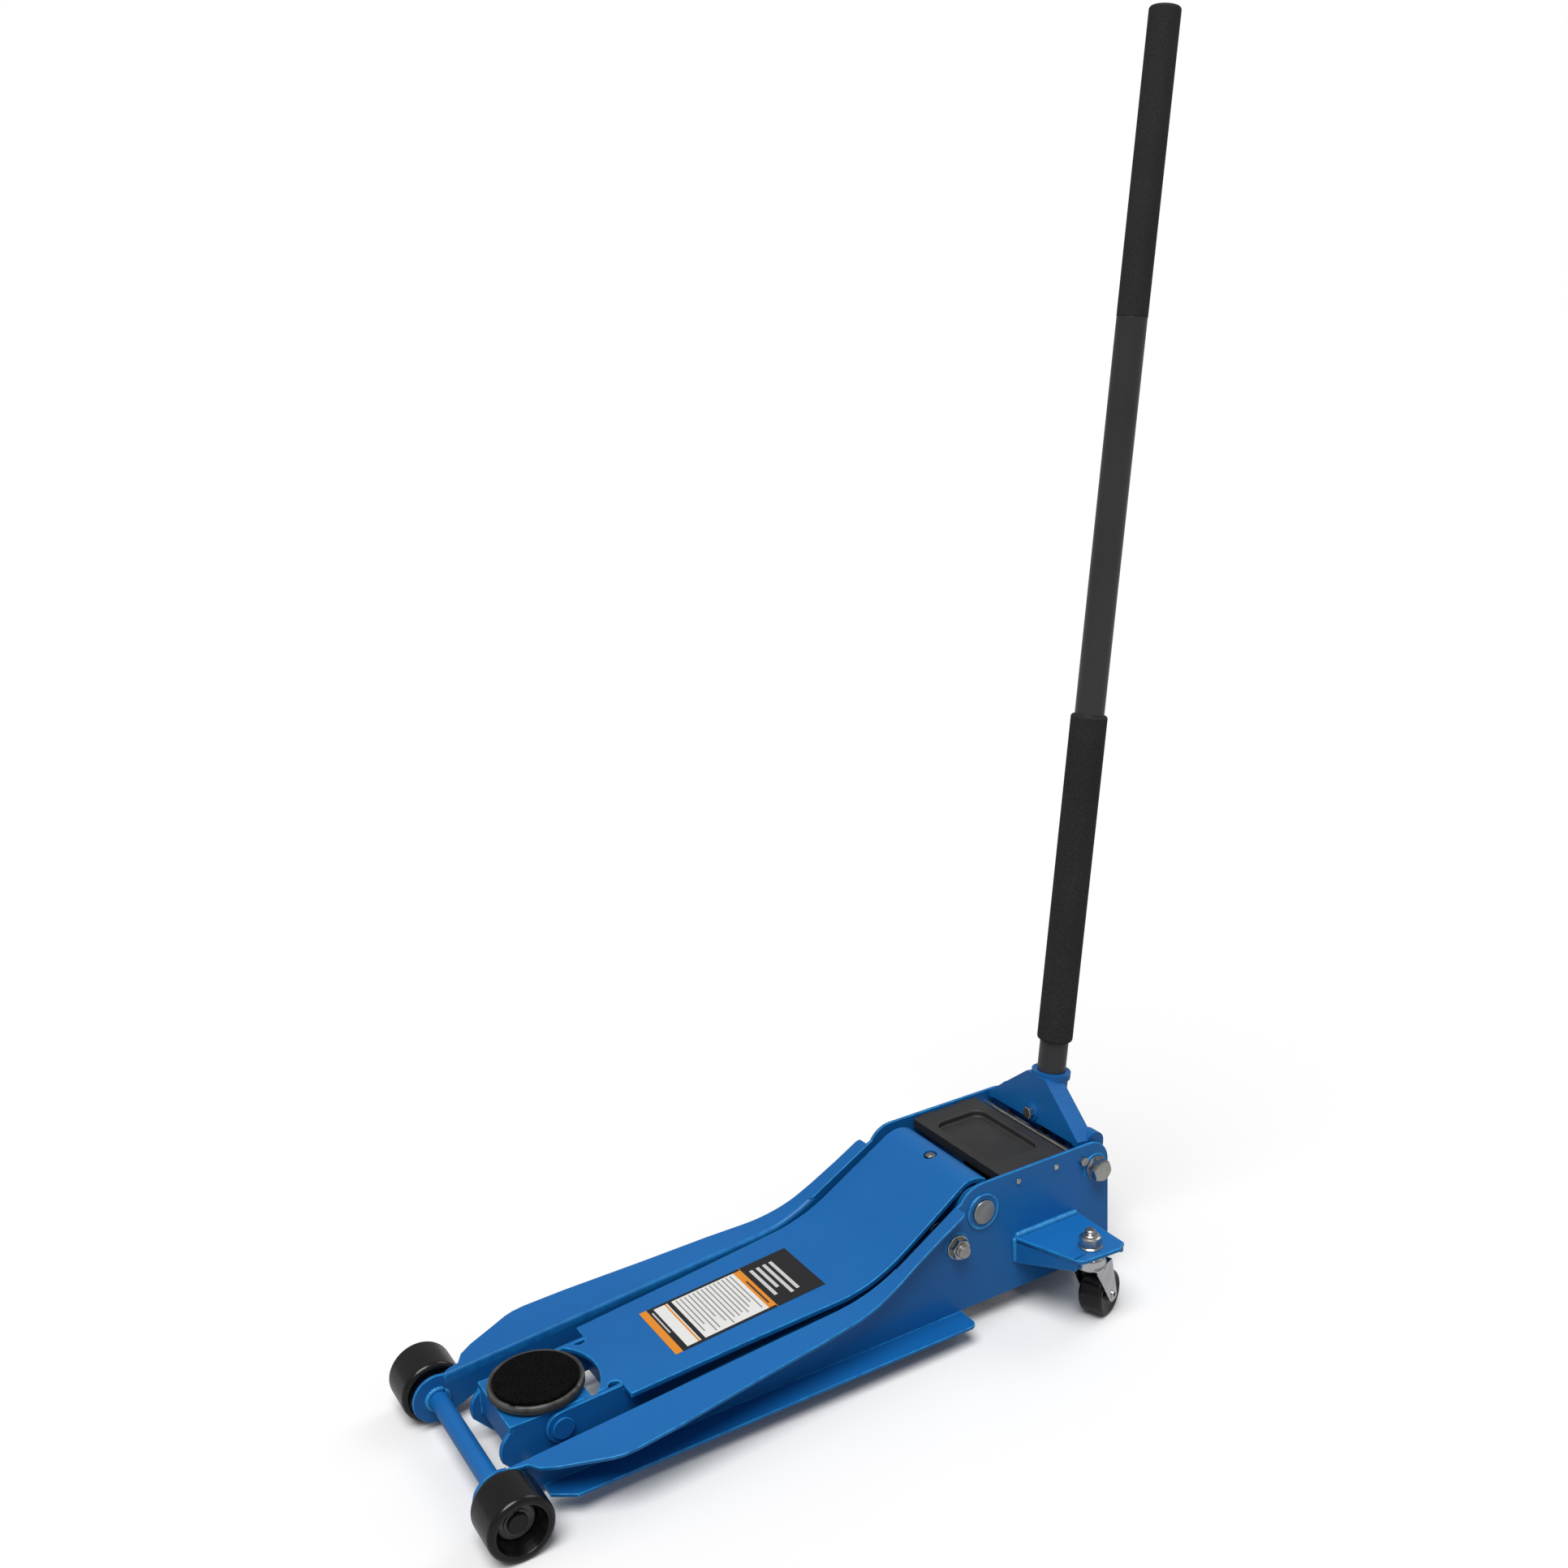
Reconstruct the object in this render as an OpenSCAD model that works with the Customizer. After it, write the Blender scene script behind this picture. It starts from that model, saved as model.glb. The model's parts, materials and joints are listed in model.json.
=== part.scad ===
// Trolley jack: a long, low garage jack on rollers and casters, with a two-piece pump handle.
// +Z is up, +Y points to the handle end, and +X is the left of a person who holds the handle.
// Sub-parts are drawn with y measured from the front axle and z from the floor, then moved together.

/* [Frame] */
// Front axle to main pivot, along the frame
reach = 600; // [560:1:720]
// Width across the outer faces of the side plates
frame_w = 188.8; // [180:0.2:230]
// Thickness of the side plates and their flanges
plate_t = 4; // [3:0.5:5]
// Height of the side plates' bottom edge above the floor
frame_clear = 27; // [24:1:32]
// Main pivot to the side plates' rear edge
tail = 188.7; // [180:0.1:230]
// Greatest width of the top flange
flange_w = 55.5; // [30:0.5:60]
// Width of the bottom flange
foot_w = 32; // [20:0.5:40]

/* [Front rollers] */
// Radius of the rollers
wheel_r = 35.4; // [33:0.1:43]
// Width of the rollers
wheel_w = 53.2; // [35:0.1:64]
// Radius of the front axle
axle_r = 10.5; // [9:0.5:12]

/* [Lift arm] */
// Height of the main pivot above the floor
pivot_z = 145; // [140:1:175]
// Radius of the main pivot shaft
pivot_r = 14.5; // [12:0.5:16]
// Thickness of the arm's top plate
arm_t = 6; // [4:0.5:8]
// Thickness of the arm's cheeks
cheek_t = 5; // [4:0.5:6]
// Clear width between the arm's cheeks
cheek_gap = 94; // [90:1:104]
// Gap between the arm's widest part and each side plate
arm_side_gap = 8.4; // [4:0.2:14]
// Length of the lever that the ram pushes
lever_len = 62; // [58:1:66]

/* [Saddle] */
// Radius of the saddle's ring
saddle_r = 51.6; // [40:0.1:56]
// Radius of the saddle's pad
pad_r = 45.7; // [30:0.1:50]
// Height of the saddle's pad above the floor
saddle_top = 84.5; // [84:0.1:92]
// Radius of the saddle's pivot pins
saddle_pin_r = 9; // [7:0.5:10]

/* [Level links] */
// Thickness of each link
link_t = 7; // [5:0.5:8]
// Radius of the links' pins
link_pin_r = 8; // [6:0.5:8]

/* [Power unit] */
// Radius of the ram's rod
ram_r = 12; // [10:0.5:12]
// Radius of the ram's cylinder
cylinder_r = 24; // [20:0.5:26]
// Radius of the pump's plunger
plunger_r = 6; // [4:0.5:6.5]

/* [Handle and yoke] */
// Main pivot to yoke pivot, along the frame
yoke_back = 168; // [160:1:200]
// Lean of the handle away from upright
handle_lean = 8.06; // [4:0.01:12]
// Yoke pivot to the top of the handle
handle_len = 1314; // [900:1:1600]
// Radius of the handle's tubes
tube_r = 17.5; // [14:0.1:18]
// Wall of the handle's tubes
tube_wall = 2.5; // [1.5:0.1:4]
// Radius of the foam sleeve
foam_r = 21.7; // [19:0.1:26]
// Length of the foam sleeve
foam_len = 405; // [200:1:480]
// Length of the hand grip
grip_len = 327; // [100:1:340]

/* [Casters] */
// Radius of the caster wheels
caster_r = 27; // [22:0.5:28]
// Width of the caster wheels
caster_w = 30; // [20:0.5:32]
// Distance that the wheels trail behind their stems
trail = 22; // [16:0.5:26]
// Angle that the casters stand turned inwards
caster_turn = 22; // [0:1:40]
// Height of the caster brackets' top face
bracket_z = 96; // [94:0.5:110]

/* [Fits] */
// Radial clearance of a pin or shaft in its bore
fit = 0.05; // [0.02:0.01:0.1]
// Gap between faces that pass each other
pass = 0.5; // [0.3:0.1:1]

/* [Hidden] */
$fn = 96;

PAINT = "royalblue";
BLACK = [0.08, 0.08, 0.09];
GREY = [0.25, 0.25, 0.26];
ZINC = "silver";

plate_out = frame_w / 2;
plate_in = plate_out - plate_t;
shape_k = reach / 600; // how far the outlines that are drawn for a 600 mm reach stretch

// Main pivot, yoke pivot and the frame's corners
pivot = [reach, pivot_z];
yoke_pivot = [reach + yoke_back, pivot_z + 2];
tail_y = reach + tail;
barrel_r = 33;
frame_top = pivot_z + barrel_r + 2;
ear_r = 28;
boss_r = 20.5;
boss_t = 1.5;

// Level links: the same offset at both ends keeps the saddle level
link_offset = [-38, -32];
arm_pin = [87, saddle_top - 33.5];
link_pin = arm_pin + link_offset;
link_anchor = pivot + link_offset;
saddle_y = arm_pin[0] - 6;
ear_end_r = 17.7;
cheek_x = cheek_gap / 2;
cheek_out = cheek_x + cheek_t;
link_x = cheek_out + 10;
link_out = link_x + link_t;
bracket_half = cheek_x - 1;
bracket_t = 6;

// Arm: its widest, front and rear half widths, and the front of its top plate
arm_half = plate_in - arm_side_gap;
arm_front_half = arm_half - 11;
arm_rear_half = arm_half - 5;
arm_front = [158, saddle_top - 11.5];
arm_notch_r = 67.5;

// Power unit
block_front = tail_y - 112.7;
block_back = block_front + 48;
block_half = 46;
block_top = pivot_z - 5;
ram_z = pivot_z - 54.7;
lever_angle = 28;
lever_tip = pivot + lever_len * [sin(lever_angle), -cos(lever_angle)];
roller_r = 11;
lever_pin_r = 8;
lever_x = 18;
lever_t = 8;
spring_x = block_half + 8;
ram_face = lever_tip[0] + roller_r + 0.8;
ram_len = 78;
pump_x = block_half - 11;
pump_z = yoke_pivot[1] - 22;

// Yoke: u runs up the handle's axis from the yoke pivot, v to the rear across it
socket_low = 22;
socket_top = 88;
collar_r = 24;
neck_r = 21.5;
web_front = -24;
web_t = 8;
web_low = 26;
lug_out = plate_in - 4.4;
lug_t = 16;
lug_in = lug_out - lug_t;
yoke_bolt_r = 8;
yoke_roller_at = [13, -20.2];
yoke_roller_r = 8;
yoke_arm_t = 6;
yoke_arm_gap = 20;
lock_bolt_u = 36;
groove_depth = 1.2; // groove in the handle that the lock bolt's tip runs in, so the handle can twist
foam_low = 128;
foam_top = foam_low + foam_len;
grip_low = handle_len - grip_len;
joint_u = foam_top + 1;

// Casters
caster_at = [plate_out + 66.6, reach + 103];
sheet_t = 5;
stem_r = 6;
race_r = 20;
fork_t = 2.5;
fork_gap = 1;
rivet_r = 4;

// The whole jack is centred between its front rollers and the top of its handle
grip_round = 4;
handle_back = yoke_pivot[0] + (handle_len - grip_round) * sin(handle_lean)
    + (tube_r + 0.2 - grip_round) * cos(handle_lean) + grip_round;
middle_y = (handle_back - wheel_r) / 2;

// ---- Shared shapes ----

module placed() { translate([0, -middle_y, 0]) children(); }
// The children's flat outline, drawn as (y, z), becomes a slab that runs from x by t
module slab(x, t) { translate([x, 0, 0]) rotate([90, 0, 90]) linear_extrude(t) children(); }
module rod(at, r, x, len) { translate([x, at[0], at[1]]) rotate([0, 90, 0]) cylinder(r = r, h = len); }
module ring(at, r, hole, x, len) {
    difference() {
        rod(at, r, x, len);
        rod(at, hole, x - 1, len + 2);
    }
}
module hexagon(at, across, x, len) {
    translate([x, at[0], at[1]]) rotate([0, 90, 0]) cylinder(r = across / 2 / cos(30), h = len, $fn = 6);
}
module both() {
    children();
    mirror([1, 0, 0]) children();
}

function arc(c, r, from, to, n = 12) =
    [for (i = [0:n]) c + r * [cos(from + (to - from) * i / n), sin(from + (to - from) * i / n)]];
// Outline of a bar with a round end of its own radius at each of two points
function belt(p, pr, q, qr) =
    let (d = q - p, turn = atan2(d[1], d[0]), open = acos((pr - qr) / norm(d)))
    concat(arc(p, pr, turn + open, turn + 360 - open, 20), arc(q, qr, turn - open, turn + open, 20));
// Rounds the corner b of the line a-b-c with radius r
function rounded(a, b, c, r, n = 10) =
    let (
        u = (a - b) / norm(a - b), w = (c - b) / norm(c - b), half = acos(u * w) / 2,
        centre = b + (u + w) / norm(u + w) * r / sin(half),
        p = b + u * r / tan(half), q = b + w * r / tan(half),
        from = atan2(p[1] - centre[1], p[0] - centre[0]), sweep = atan2(q[1] - centre[1], q[0] - centre[0]) - from,
        turn = sweep > 180 ? sweep - 360 : sweep < -180 ? sweep + 360 : sweep
    ) arc(centre, r, from, from + turn, n);
function lowered(points, by) = [for (i = [len(points) - 1:-1:0]) points[i] - [0, by]];

// ---- Frame ----

// Fold line of the side plate's top flange: a low run, a bend and a slope up to the pivot
slope_from = [reach - 120, 115 + pivot_z - 145];
slope_to = [reach - 35, 161 + pivot_z - 145];
fold_start = [10 * shape_k, 62];
fold_bend = [reach - 158, 94 + (pivot_z - 145) * 0.9];
fold_line = concat(
    [fold_start], rounded(fold_start, fold_bend, slope_to, 190),
    [slope_to]
);
flange_end = slope_to[0] + 1;

// Width of the top flange, as shares of its greatest width, along the frame
FLANGE_EDGE = [
    [12, 0.02], [20, 0.08], [29, 0.11], [37, 0.34], [52, 0.52], [83, 0.77], [102, 0.93], [112, 0.98], [126, 1],
    [175, 0.95], [275, 0.77], [355, 0.65], [410, 0.53], [440, 0.45], [465, 0.38], [495, 0.32], [530, 0.29]
];

module side_outline() {
    union() {
        polygon(concat(
            [[20 * shape_k, 16], [46 * shape_k, frame_clear], [tail_y, frame_clear]],
            arc([tail_y - 28, frame_top - 28], 28, 0, 90),
            arc(pivot, barrel_r + 2, 90, 148),
            [for (i = [len(fold_line) - 1:-1:0]) fold_line[i]],
            [[0, wheel_r + ear_r - 3], [0, 20]]
        ));
        translate([0, wheel_r]) circle(ear_r);
    }
}

module side_plate() {
    difference() {
        union() {
            slab(plate_in, plate_t) side_outline();
            intersection() {
                slab(plate_in, flange_w + plate_t + 1)
                    polygon(concat(fold_line, lowered(fold_line, plate_t)));
                linear_extrude(frame_top) polygon(concat(
                    [[plate_in + 1, FLANGE_EDGE[0][0] * shape_k]],
                    [for (p = FLANGE_EDGE) [plate_out + p[1] * flange_w, p[0] * shape_k]],
                    arc([plate_out + 0.29 * flange_w - 7, flange_end - 7], 7, 0, 90, 6),
                    [[plate_in + 1, flange_end]]
                ));
            }
            translate([0, 0, frame_clear - plate_t]) linear_extrude(plate_t) polygon(concat(
                [[plate_in, 46 * shape_k], [plate_out + foot_w * 0.5, 46 * shape_k], [plate_out + foot_w, 70 * shape_k]],
                arc([plate_out + foot_w - 9, reach - 43], 9, 0, 90, 8),
                [[plate_in, reach - 34]]
            ));
            rod(pivot, boss_r, plate_out - 1, boss_t + 1);
            rod(yoke_pivot, 17, plate_out - 1, boss_t + 1);
            rod(link_anchor, 16, plate_out - 1, boss_t + 1);
        }
        rod([0, wheel_r], axle_r + fit, plate_in - 1, plate_t + 3);
        rod(pivot, pivot_r + fit, plate_in - 1, plate_t + 4);
        rod(yoke_pivot, yoke_bolt_r + fit, plate_in - 1, plate_t + 4);
        rod(link_anchor, link_pin_r + fit, plate_in - 1, plate_t + 4);
        rod(cross_rod_at, 3 + fit, plate_in - 1, plate_t + 3);
        for (p = tray_screw_at) rod(p, 2 + fit, plate_in - 1, plate_t + 3);
    }
}
module left_side_plate() { color(PAINT) placed() side_plate(); }
module right_side_plate() { color(PAINT) placed() mirror([1, 0, 0]) side_plate(); }

// Tie across the bottom of the frame's tail, under the pump
module rear_cross_plate() {
    color(PAINT) placed() translate([-plate_in, block_front - 16, frame_clear])
        cube([2 * plate_in, tail_y - 3 - block_front + 16, 6]);
}

// ---- Front rollers and their axle ----

roller_in = plate_out + 7.1;
hub_w = 34;
washer_t = 2.4;
circlip_t = 1.6;
axle_end = roller_in + hub_w + washer_t + circlip_t + 3;

module front_axle() {
    color(PAINT) placed() {
        difference() {
            rod([0, wheel_r], axle_r, -axle_end, 2 * axle_end);
            both() ring([0, wheel_r], axle_r + 1, axle_r - 1, axle_end - 3 - circlip_t, circlip_t);
        }
        both() ring([0, wheel_r], axle_r + 5, axle_r - 1, plate_out + 0.1, 6);
    }
}
module axle_washers() {
    color(GREY) placed() both() ring([0, wheel_r], 18.5, axle_r + fit, roller_in + hub_w + 0.2, washer_t - 0.3);
}
module axle_circlips() {
    color(GREY) placed() both() difference() {
        ring([0, wheel_r], axle_r + 3.2, axle_r - 1 + fit, axle_end - 3 - circlip_t + 0.1, circlip_t - 0.2);
        translate([axle_end - 6, -3, wheel_r + 5]) cube([6, 6, 12]);
    }
}

module front_roller() {
    dish_r = wheel_r - 8.5;
    hub_r = 20;
    edge = 6;
    translate([roller_in, 0, wheel_r]) rotate([0, 90, 0]) rotate_extrude() polygon(concat(
        [[axle_r + fit, 0.4], [hub_r, 0.4], [dish_r, 2]],
        arc([wheel_r - edge, edge], edge, -90, 0, 8),
        arc([wheel_r - edge, wheel_w - edge], edge, 0, 90, 8),
        [[dish_r, wheel_w - 1], [hub_r, hub_w], [axle_r + fit, hub_w]]
    ));
}
module left_front_roller() { color(BLACK) placed() front_roller(); }
module right_front_roller() { color(BLACK) placed() mirror([1, 0, 0]) front_roller(); }

// ---- Casters ----

bracket_front_y = reach + 44;
bracket_corner = [plate_out + 82, reach + 72];
bracket_slant = atan2(bracket_corner[1] - bracket_front_y, bracket_corner[0] - plate_out);
bracket_back_y = reach + 140;

module caster_bracket() {
    edge_len = norm([bracket_corner[0] - plate_out, bracket_corner[1] - bracket_front_y]);
    difference() {
        union() {
            translate([0, 0, bracket_z - sheet_t]) linear_extrude(sheet_t) polygon(concat(
                [[plate_out, bracket_front_y]],
                rounded([plate_out, bracket_front_y], bracket_corner + [4, 0], bracket_corner + [11, 40], 12),
                [bracket_corner + [8, 56], [bracket_corner[0] + 1, bracket_back_y], [plate_out, bracket_back_y]]
            ));
            translate([plate_out, bracket_front_y, 0]) rotate([0, 0, bracket_slant]) translate([0, sheet_t, 0])
                rotate([90, 0, 0]) linear_extrude(sheet_t)
                    polygon([[2, bracket_z - 34], [2, bracket_z - 1], [edge_len - 3, bracket_z - 1], [edge_len - 3, bracket_z - 16]]);
            translate([plate_out, bracket_back_y - sheet_t, bracket_z - 13]) cube([82, sheet_t, 13]);
        }
        translate([caster_at[0], caster_at[1], 0]) cylinder(r = stem_r + fit, h = bracket_z + 5);
        translate([-plate_out, 0, 0]) cube([2 * plate_out, tail_y, frame_top]);
    }
}
module left_caster_bracket() { color(PAINT) placed() caster_bracket(); }
module right_caster_bracket() { color(PAINT) placed() mirror([1, 0, 0]) caster_bracket(); }

race_z = bracket_z - sheet_t - 0.1;
race_t = 6;
crown_top = race_z - race_t - pass;
crown_low = crown_top - 11;

module at_casters() {
    placed() both() translate([caster_at[0], caster_at[1], 0]) children();
}
module caster_stems() {
    color(ZINC) at_casters() {
        translate([0, 0, crown_low - 3]) cylinder(r = stem_r, h = bracket_z + 25 - crown_low);
        translate([0, 0, crown_low - 6]) cylinder(r = stem_r + 4, h = 4);
    }
}
module caster_nuts() {
    color(ZINC) at_casters() {
        difference() {
            union() {
                translate([0, 0, bracket_z + 0.1]) cylinder(r = 14, h = 3);
                translate([0, 0, bracket_z + 3]) cylinder(r = 13.2, h = 14, $fn = 6);
            }
            cylinder(r = stem_r + fit, h = bracket_z + 20);
        }
    }
}
module caster_races() {
    color(ZINC) at_casters() translate([0, 0, race_z - race_t]) difference() {
        cylinder(r1 = race_r - 3, r2 = race_r, h = race_t);
        translate([0, 0, -1]) cylinder(r = stem_r + fit, h = race_t + 2);
    }
}

// The turned parts of a caster: local +y is the way the wheel trails
module turned() { translate([caster_at[0], caster_at[1], 0]) rotate([0, 0, caster_turn]) children(); }
leg_in = caster_w / 2 + fork_gap;
caster_axle = [trail, caster_r];

module caster_fork() {
    turned() {
        difference() {
            translate([0, 0, crown_low]) cylinder(r1 = race_r - 1, r2 = race_r - 3, h = crown_top - crown_low);
            translate([0, 0, crown_low - 3]) cylinder(r = stem_r + 4 + pass, h = 7);
            cylinder(r = stem_r + fit, h = crown_top + 1);
        }
        both() difference() {
            slab(leg_in, fork_t) polygon(concat(
                [[-15, crown_low + 3], [-15, crown_low - 3]],
                arc(caster_axle, 9, 205, 375, 16),
                [[19, crown_low + 3]]
            ));
            rod(caster_axle, rivet_r + fit, leg_in - 1, fork_t + 2);
        }
        difference() {
            translate([-leg_in - 0.1, -15, crown_low]) cube([2 * leg_in + 0.2, 34, 3]);
            translate([0, 0, crown_low - 1]) cylinder(r = stem_r + 4 + pass, h = 5);
        }
    }
}
module caster_rivet() {
    turned() difference() {
        union() {
            rod(caster_axle, rivet_r, -leg_in - fork_t - 1, 2 * (leg_in + fork_t + 1));
            both() rod(caster_axle, rivet_r + 2, leg_in + fork_t + 0.05, 1.5);
        }
        rod(caster_axle, rivet_r - 1.5, -leg_in - fork_t - 5, 2 * (leg_in + fork_t + 5));
    }
}
module caster_wheel() {
    edge = 5;
    hub = [-caster_w / 2, caster_w / 2];
    turned() translate([0, caster_axle[0], caster_axle[1]]) rotate([0, 90, 0]) rotate_extrude() polygon(concat(
        [[rivet_r + fit, hub[0]], [9, hub[0]], [11, hub[0] + 2], [17, hub[0] + 2]],
        arc([caster_r - edge, hub[0] + edge], edge, -90, 0, 8),
        arc([caster_r - edge, hub[1] - edge], edge, 0, 90, 8),
        [[17, hub[1] - 2], [11, hub[1] - 2], [9, hub[1]], [rivet_r + fit, hub[1]]]
    ));
}
module left_caster_fork() { color(ZINC) placed() caster_fork(); }
module right_caster_fork() { color(ZINC) placed() mirror([1, 0, 0]) caster_fork(); }
module left_caster_rivet() { color(ZINC) placed() caster_rivet(); }
module right_caster_rivet() { color(ZINC) placed() mirror([1, 0, 0]) caster_rivet(); }
module left_caster_wheel() { color(BLACK) placed() caster_wheel(); }
module right_caster_wheel() { color(BLACK) placed() mirror([1, 0, 0]) caster_wheel(); }

// ---- Tray and the bolts that cross the frame ----

tray_z = frame_top - 3;
tray_t = 2.5;
tray_front = reach + 32;
tray_back = reach + 128;
tray_half = plate_in - 3;
pan_half = 60;
pan_front = tray_front + 12;
pan_back = tray_back - 15;
pan_depth = 8;
cross_rod_at = [reach + 148.8, pivot_z + 16.2];
tray_screw_at = [[reach + 52, tray_z - 11], [reach + 108, tray_z - 11]];

// A flat rectangle with round corners, centred across x, from y0 to y1
module pan_outline(half_x, y0, y1, r) {
    cx = half_x - r;
    polygon(concat(
        arc([cx, y1 - r], r, 0, 90, 6), arc([-cx, y1 - r], r, 90, 180, 6),
        arc([-cx, y0 + r], r, 180, 270, 6), arc([cx, y0 + r], r, 270, 360, 6)
    ));
}
module tool_tray() {
    color(BLACK) placed() difference() {
        union() {
            translate([-tray_half, tray_front, tray_z - tray_t]) cube([2 * tray_half, tray_back - tray_front, tray_t]);
            translate([0, 0, tray_z - pan_depth - tray_t]) linear_extrude(pan_depth + tray_t)
                pan_outline(pan_half + tray_t, pan_front - tray_t, pan_back + tray_t, 16);
            translate([-tray_half, tray_front, tray_z - 12]) cube([2 * tray_half, tray_t, 12]);
            both() for (p = tray_screw_at)
                translate([plate_in - 4.1, p[0] - 8, p[1] - 5]) cube([4, 16, tray_z - p[1] + 5]);
        }
        translate([0, 0, tray_z - pan_depth]) linear_extrude(pan_depth + 1)
            pan_outline(pan_half, pan_front, pan_back, 14);
        both() for (p = tray_screw_at) rod(p, 2 + fit, plate_in - 6, 8);
    }
}
module tray_screws() {
    color(ZINC) placed() both() for (p = tray_screw_at) difference() {
        union() {
            rod(p, 2, plate_in - 5, plate_t + 6);
            rod(p, 3.4, plate_out + 0.05, 1.4);
        }
        hexagon(p, 2.2, plate_out + 0.6, 2);
    }
}
module cross_rod() { color(ZINC) placed() rod(cross_rod_at, 5, -plate_in + 0.1, 2 * plate_in - 0.2); }
module cross_rod_bolts() {
    color(ZINC) placed() both() {
        rod(cross_rod_at, 3, plate_in + 0.2, plate_t + 1);
        hexagon(cross_rod_at, 10, plate_out + 0.1, 5);
    }
}
module main_pivot_shaft() {
    color(ZINC) placed() rod(pivot, pivot_r, -plate_out - 4, 2 * (plate_out + 4));
}

// ---- Lift arm ----

arm_slope_end = pivot + barrel_r * [-sin(31), cos(31)];
arm_bend = [reach - 142, 97 + (pivot_z - 145) * 0.9];
arm_line = concat(
    [arm_front], rounded(arm_front, arm_bend, arm_slope_end, 190),
    arc(pivot, barrel_r, 121, 55, 10)
);
arm_under = concat(
    [arm_front - [0, arm_t]], [for (p = rounded(arm_front, arm_bend, arm_slope_end, 190)) p + arm_t * [0.25, -1]],
    arc(pivot, barrel_r - arm_t, 121, 55, 10)
);
ARM_SIDE = [[300, -6], [415, 0], [450, 0], [520, -2]];
lock_screw_y = reach - 5;

tongue_half = cheek_x - 0.1; // half width of the plate between the cheeks

module arm_plan() {
    half = concat(
        arc([0, saddle_y], arm_notch_r, 90, 90 - asin(tongue_half / arm_notch_r), 12),
        [[tongue_half, arm_front[0]], [arm_front_half, arm_front[0]]],
        [for (p = ARM_SIDE) [arm_half + p[1], p[0] * shape_k]],
        [[arm_rear_half, reach - 12], [arm_rear_half, reach + barrel_r]]
    );
    polygon(concat(half, [for (i = [len(half) - 1:-1:0]) [-half[i][0], half[i][1]]]));
}

relief_r = 7; // round relief beside each cheek, where its weld ends
apron_y = arm_front[0] - 2; // front of the apron that ties the cheeks under the plate's front

module arm_top_plate() {
    color(PAINT) placed() difference() {
        intersection() {
            slab(-arm_half - 1, 2 * arm_half + 2) polygon(concat(
                [[saddle_y + 20, arm_front[1] - 1], arm_line[0]], arm_line,
                [for (i = [len(arm_under) - 1:-1:0]) arm_under[i]], [[saddle_y + 20, arm_front[1] - arm_t]]
            ));
            linear_extrude(frame_top + 10) arm_plan();
        }
        translate([0, lock_screw_y, pivot_z]) cylinder(r = 8.2, h = barrel_r + 5);
        both() translate([cheek_x, arm_front[0] - relief_r - 1, 0]) cylinder(r = relief_r, h = frame_top);
    }
    color(PAINT) placed() translate([-tongue_half, apron_y, arm_pin[1] - 14])
        cube([2 * tongue_half, 6, arm_front[1] - arm_t + 1 - arm_pin[1] + 14]);
}
module arm_cheek() {
    difference() {
        slab(cheek_x, cheek_t) polygon(concat(
            arc(arm_pin, ear_end_r, 270, 95, 20),
            [arm_front - [0.3, 0.5], arm_front - [0.3, arm_t + 0.05]],
            [for (p = arm_under) p - [0, 0.05]],
            arc(pivot, barrel_r - arm_t - 0.05, 40, -130, 16),
            [[reach - 60, pivot_z - 52], [reach - 160, 40], [reach - 300, 33], [180, 31]]
        ));
        rod(arm_pin, saddle_pin_r + fit, cheek_x - 1, cheek_t + 2);
        rod(pivot, tube_out + fit, cheek_x - 1, cheek_t + 2);
    }
}
module arm_left_cheek() { color(PAINT) placed() arm_cheek(); }
module arm_right_cheek() { color(PAINT) placed() mirror([1, 0, 0]) arm_cheek(); }

tube_out = pivot_r + 8;
module arm_pivot_tube() {
    color(PAINT) placed() ring(pivot, tube_out, pivot_r + fit, -arm_rear_half + 1, 2 * arm_rear_half - 2);
}
module lever_plates() {
    color(PAINT) placed() both() difference() {
        slab(lever_x, lever_t) polygon(belt(pivot, tube_out + 3, lever_tip, 15));
        rod(pivot, tube_out + fit, lever_x - 1, lever_t + 2);
        rod(lever_tip, lever_pin_r + fit, lever_x - 1, lever_t + 2);
    }
}
module lever_pin() { color(ZINC) placed() rod(lever_tip, lever_pin_r, -spring_x - 4, 2 * spring_x + 8); }
module lever_roller() {
    color(ZINC) placed() ring(lever_tip, roller_r, lever_pin_r + fit, -lever_x + pass, 2 * (lever_x - pass));
}
module arm_lock_screw() {
    color(ZINC) placed() translate([0, lock_screw_y, pivot_z + tube_out + 1]) difference() {
        union() {
            cylinder(r = 4, h = barrel_r - tube_out - 1);
            translate([0, 0, 4]) cylinder(r = 6.5, h = 4.5, $fn = 6);
        }
        translate([0, 0, barrel_r - tube_out - 3]) cylinder(r = 1.6, h = 4, $fn = 6);
    }
}

label_len = 191;
label_w = 91;
module data_label() {
    rise = atan2(arm_bend[1] - arm_front[1], arm_bend[0] - arm_front[0]);
    color("white") placed() translate([0, arm_front[0], arm_front[1]]) rotate([rise, 0, 0])
        translate([-label_w / 2, 66 * shape_k, 0.05]) cube([label_w, label_len, 0.4]);
}

// ---- Saddle ----

bracket_top = saddle_top - 14.5;
post_r = 14;
saddle_low = bracket_top + 0.4;
ring_h = saddle_top - saddle_low - 2.1;

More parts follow.
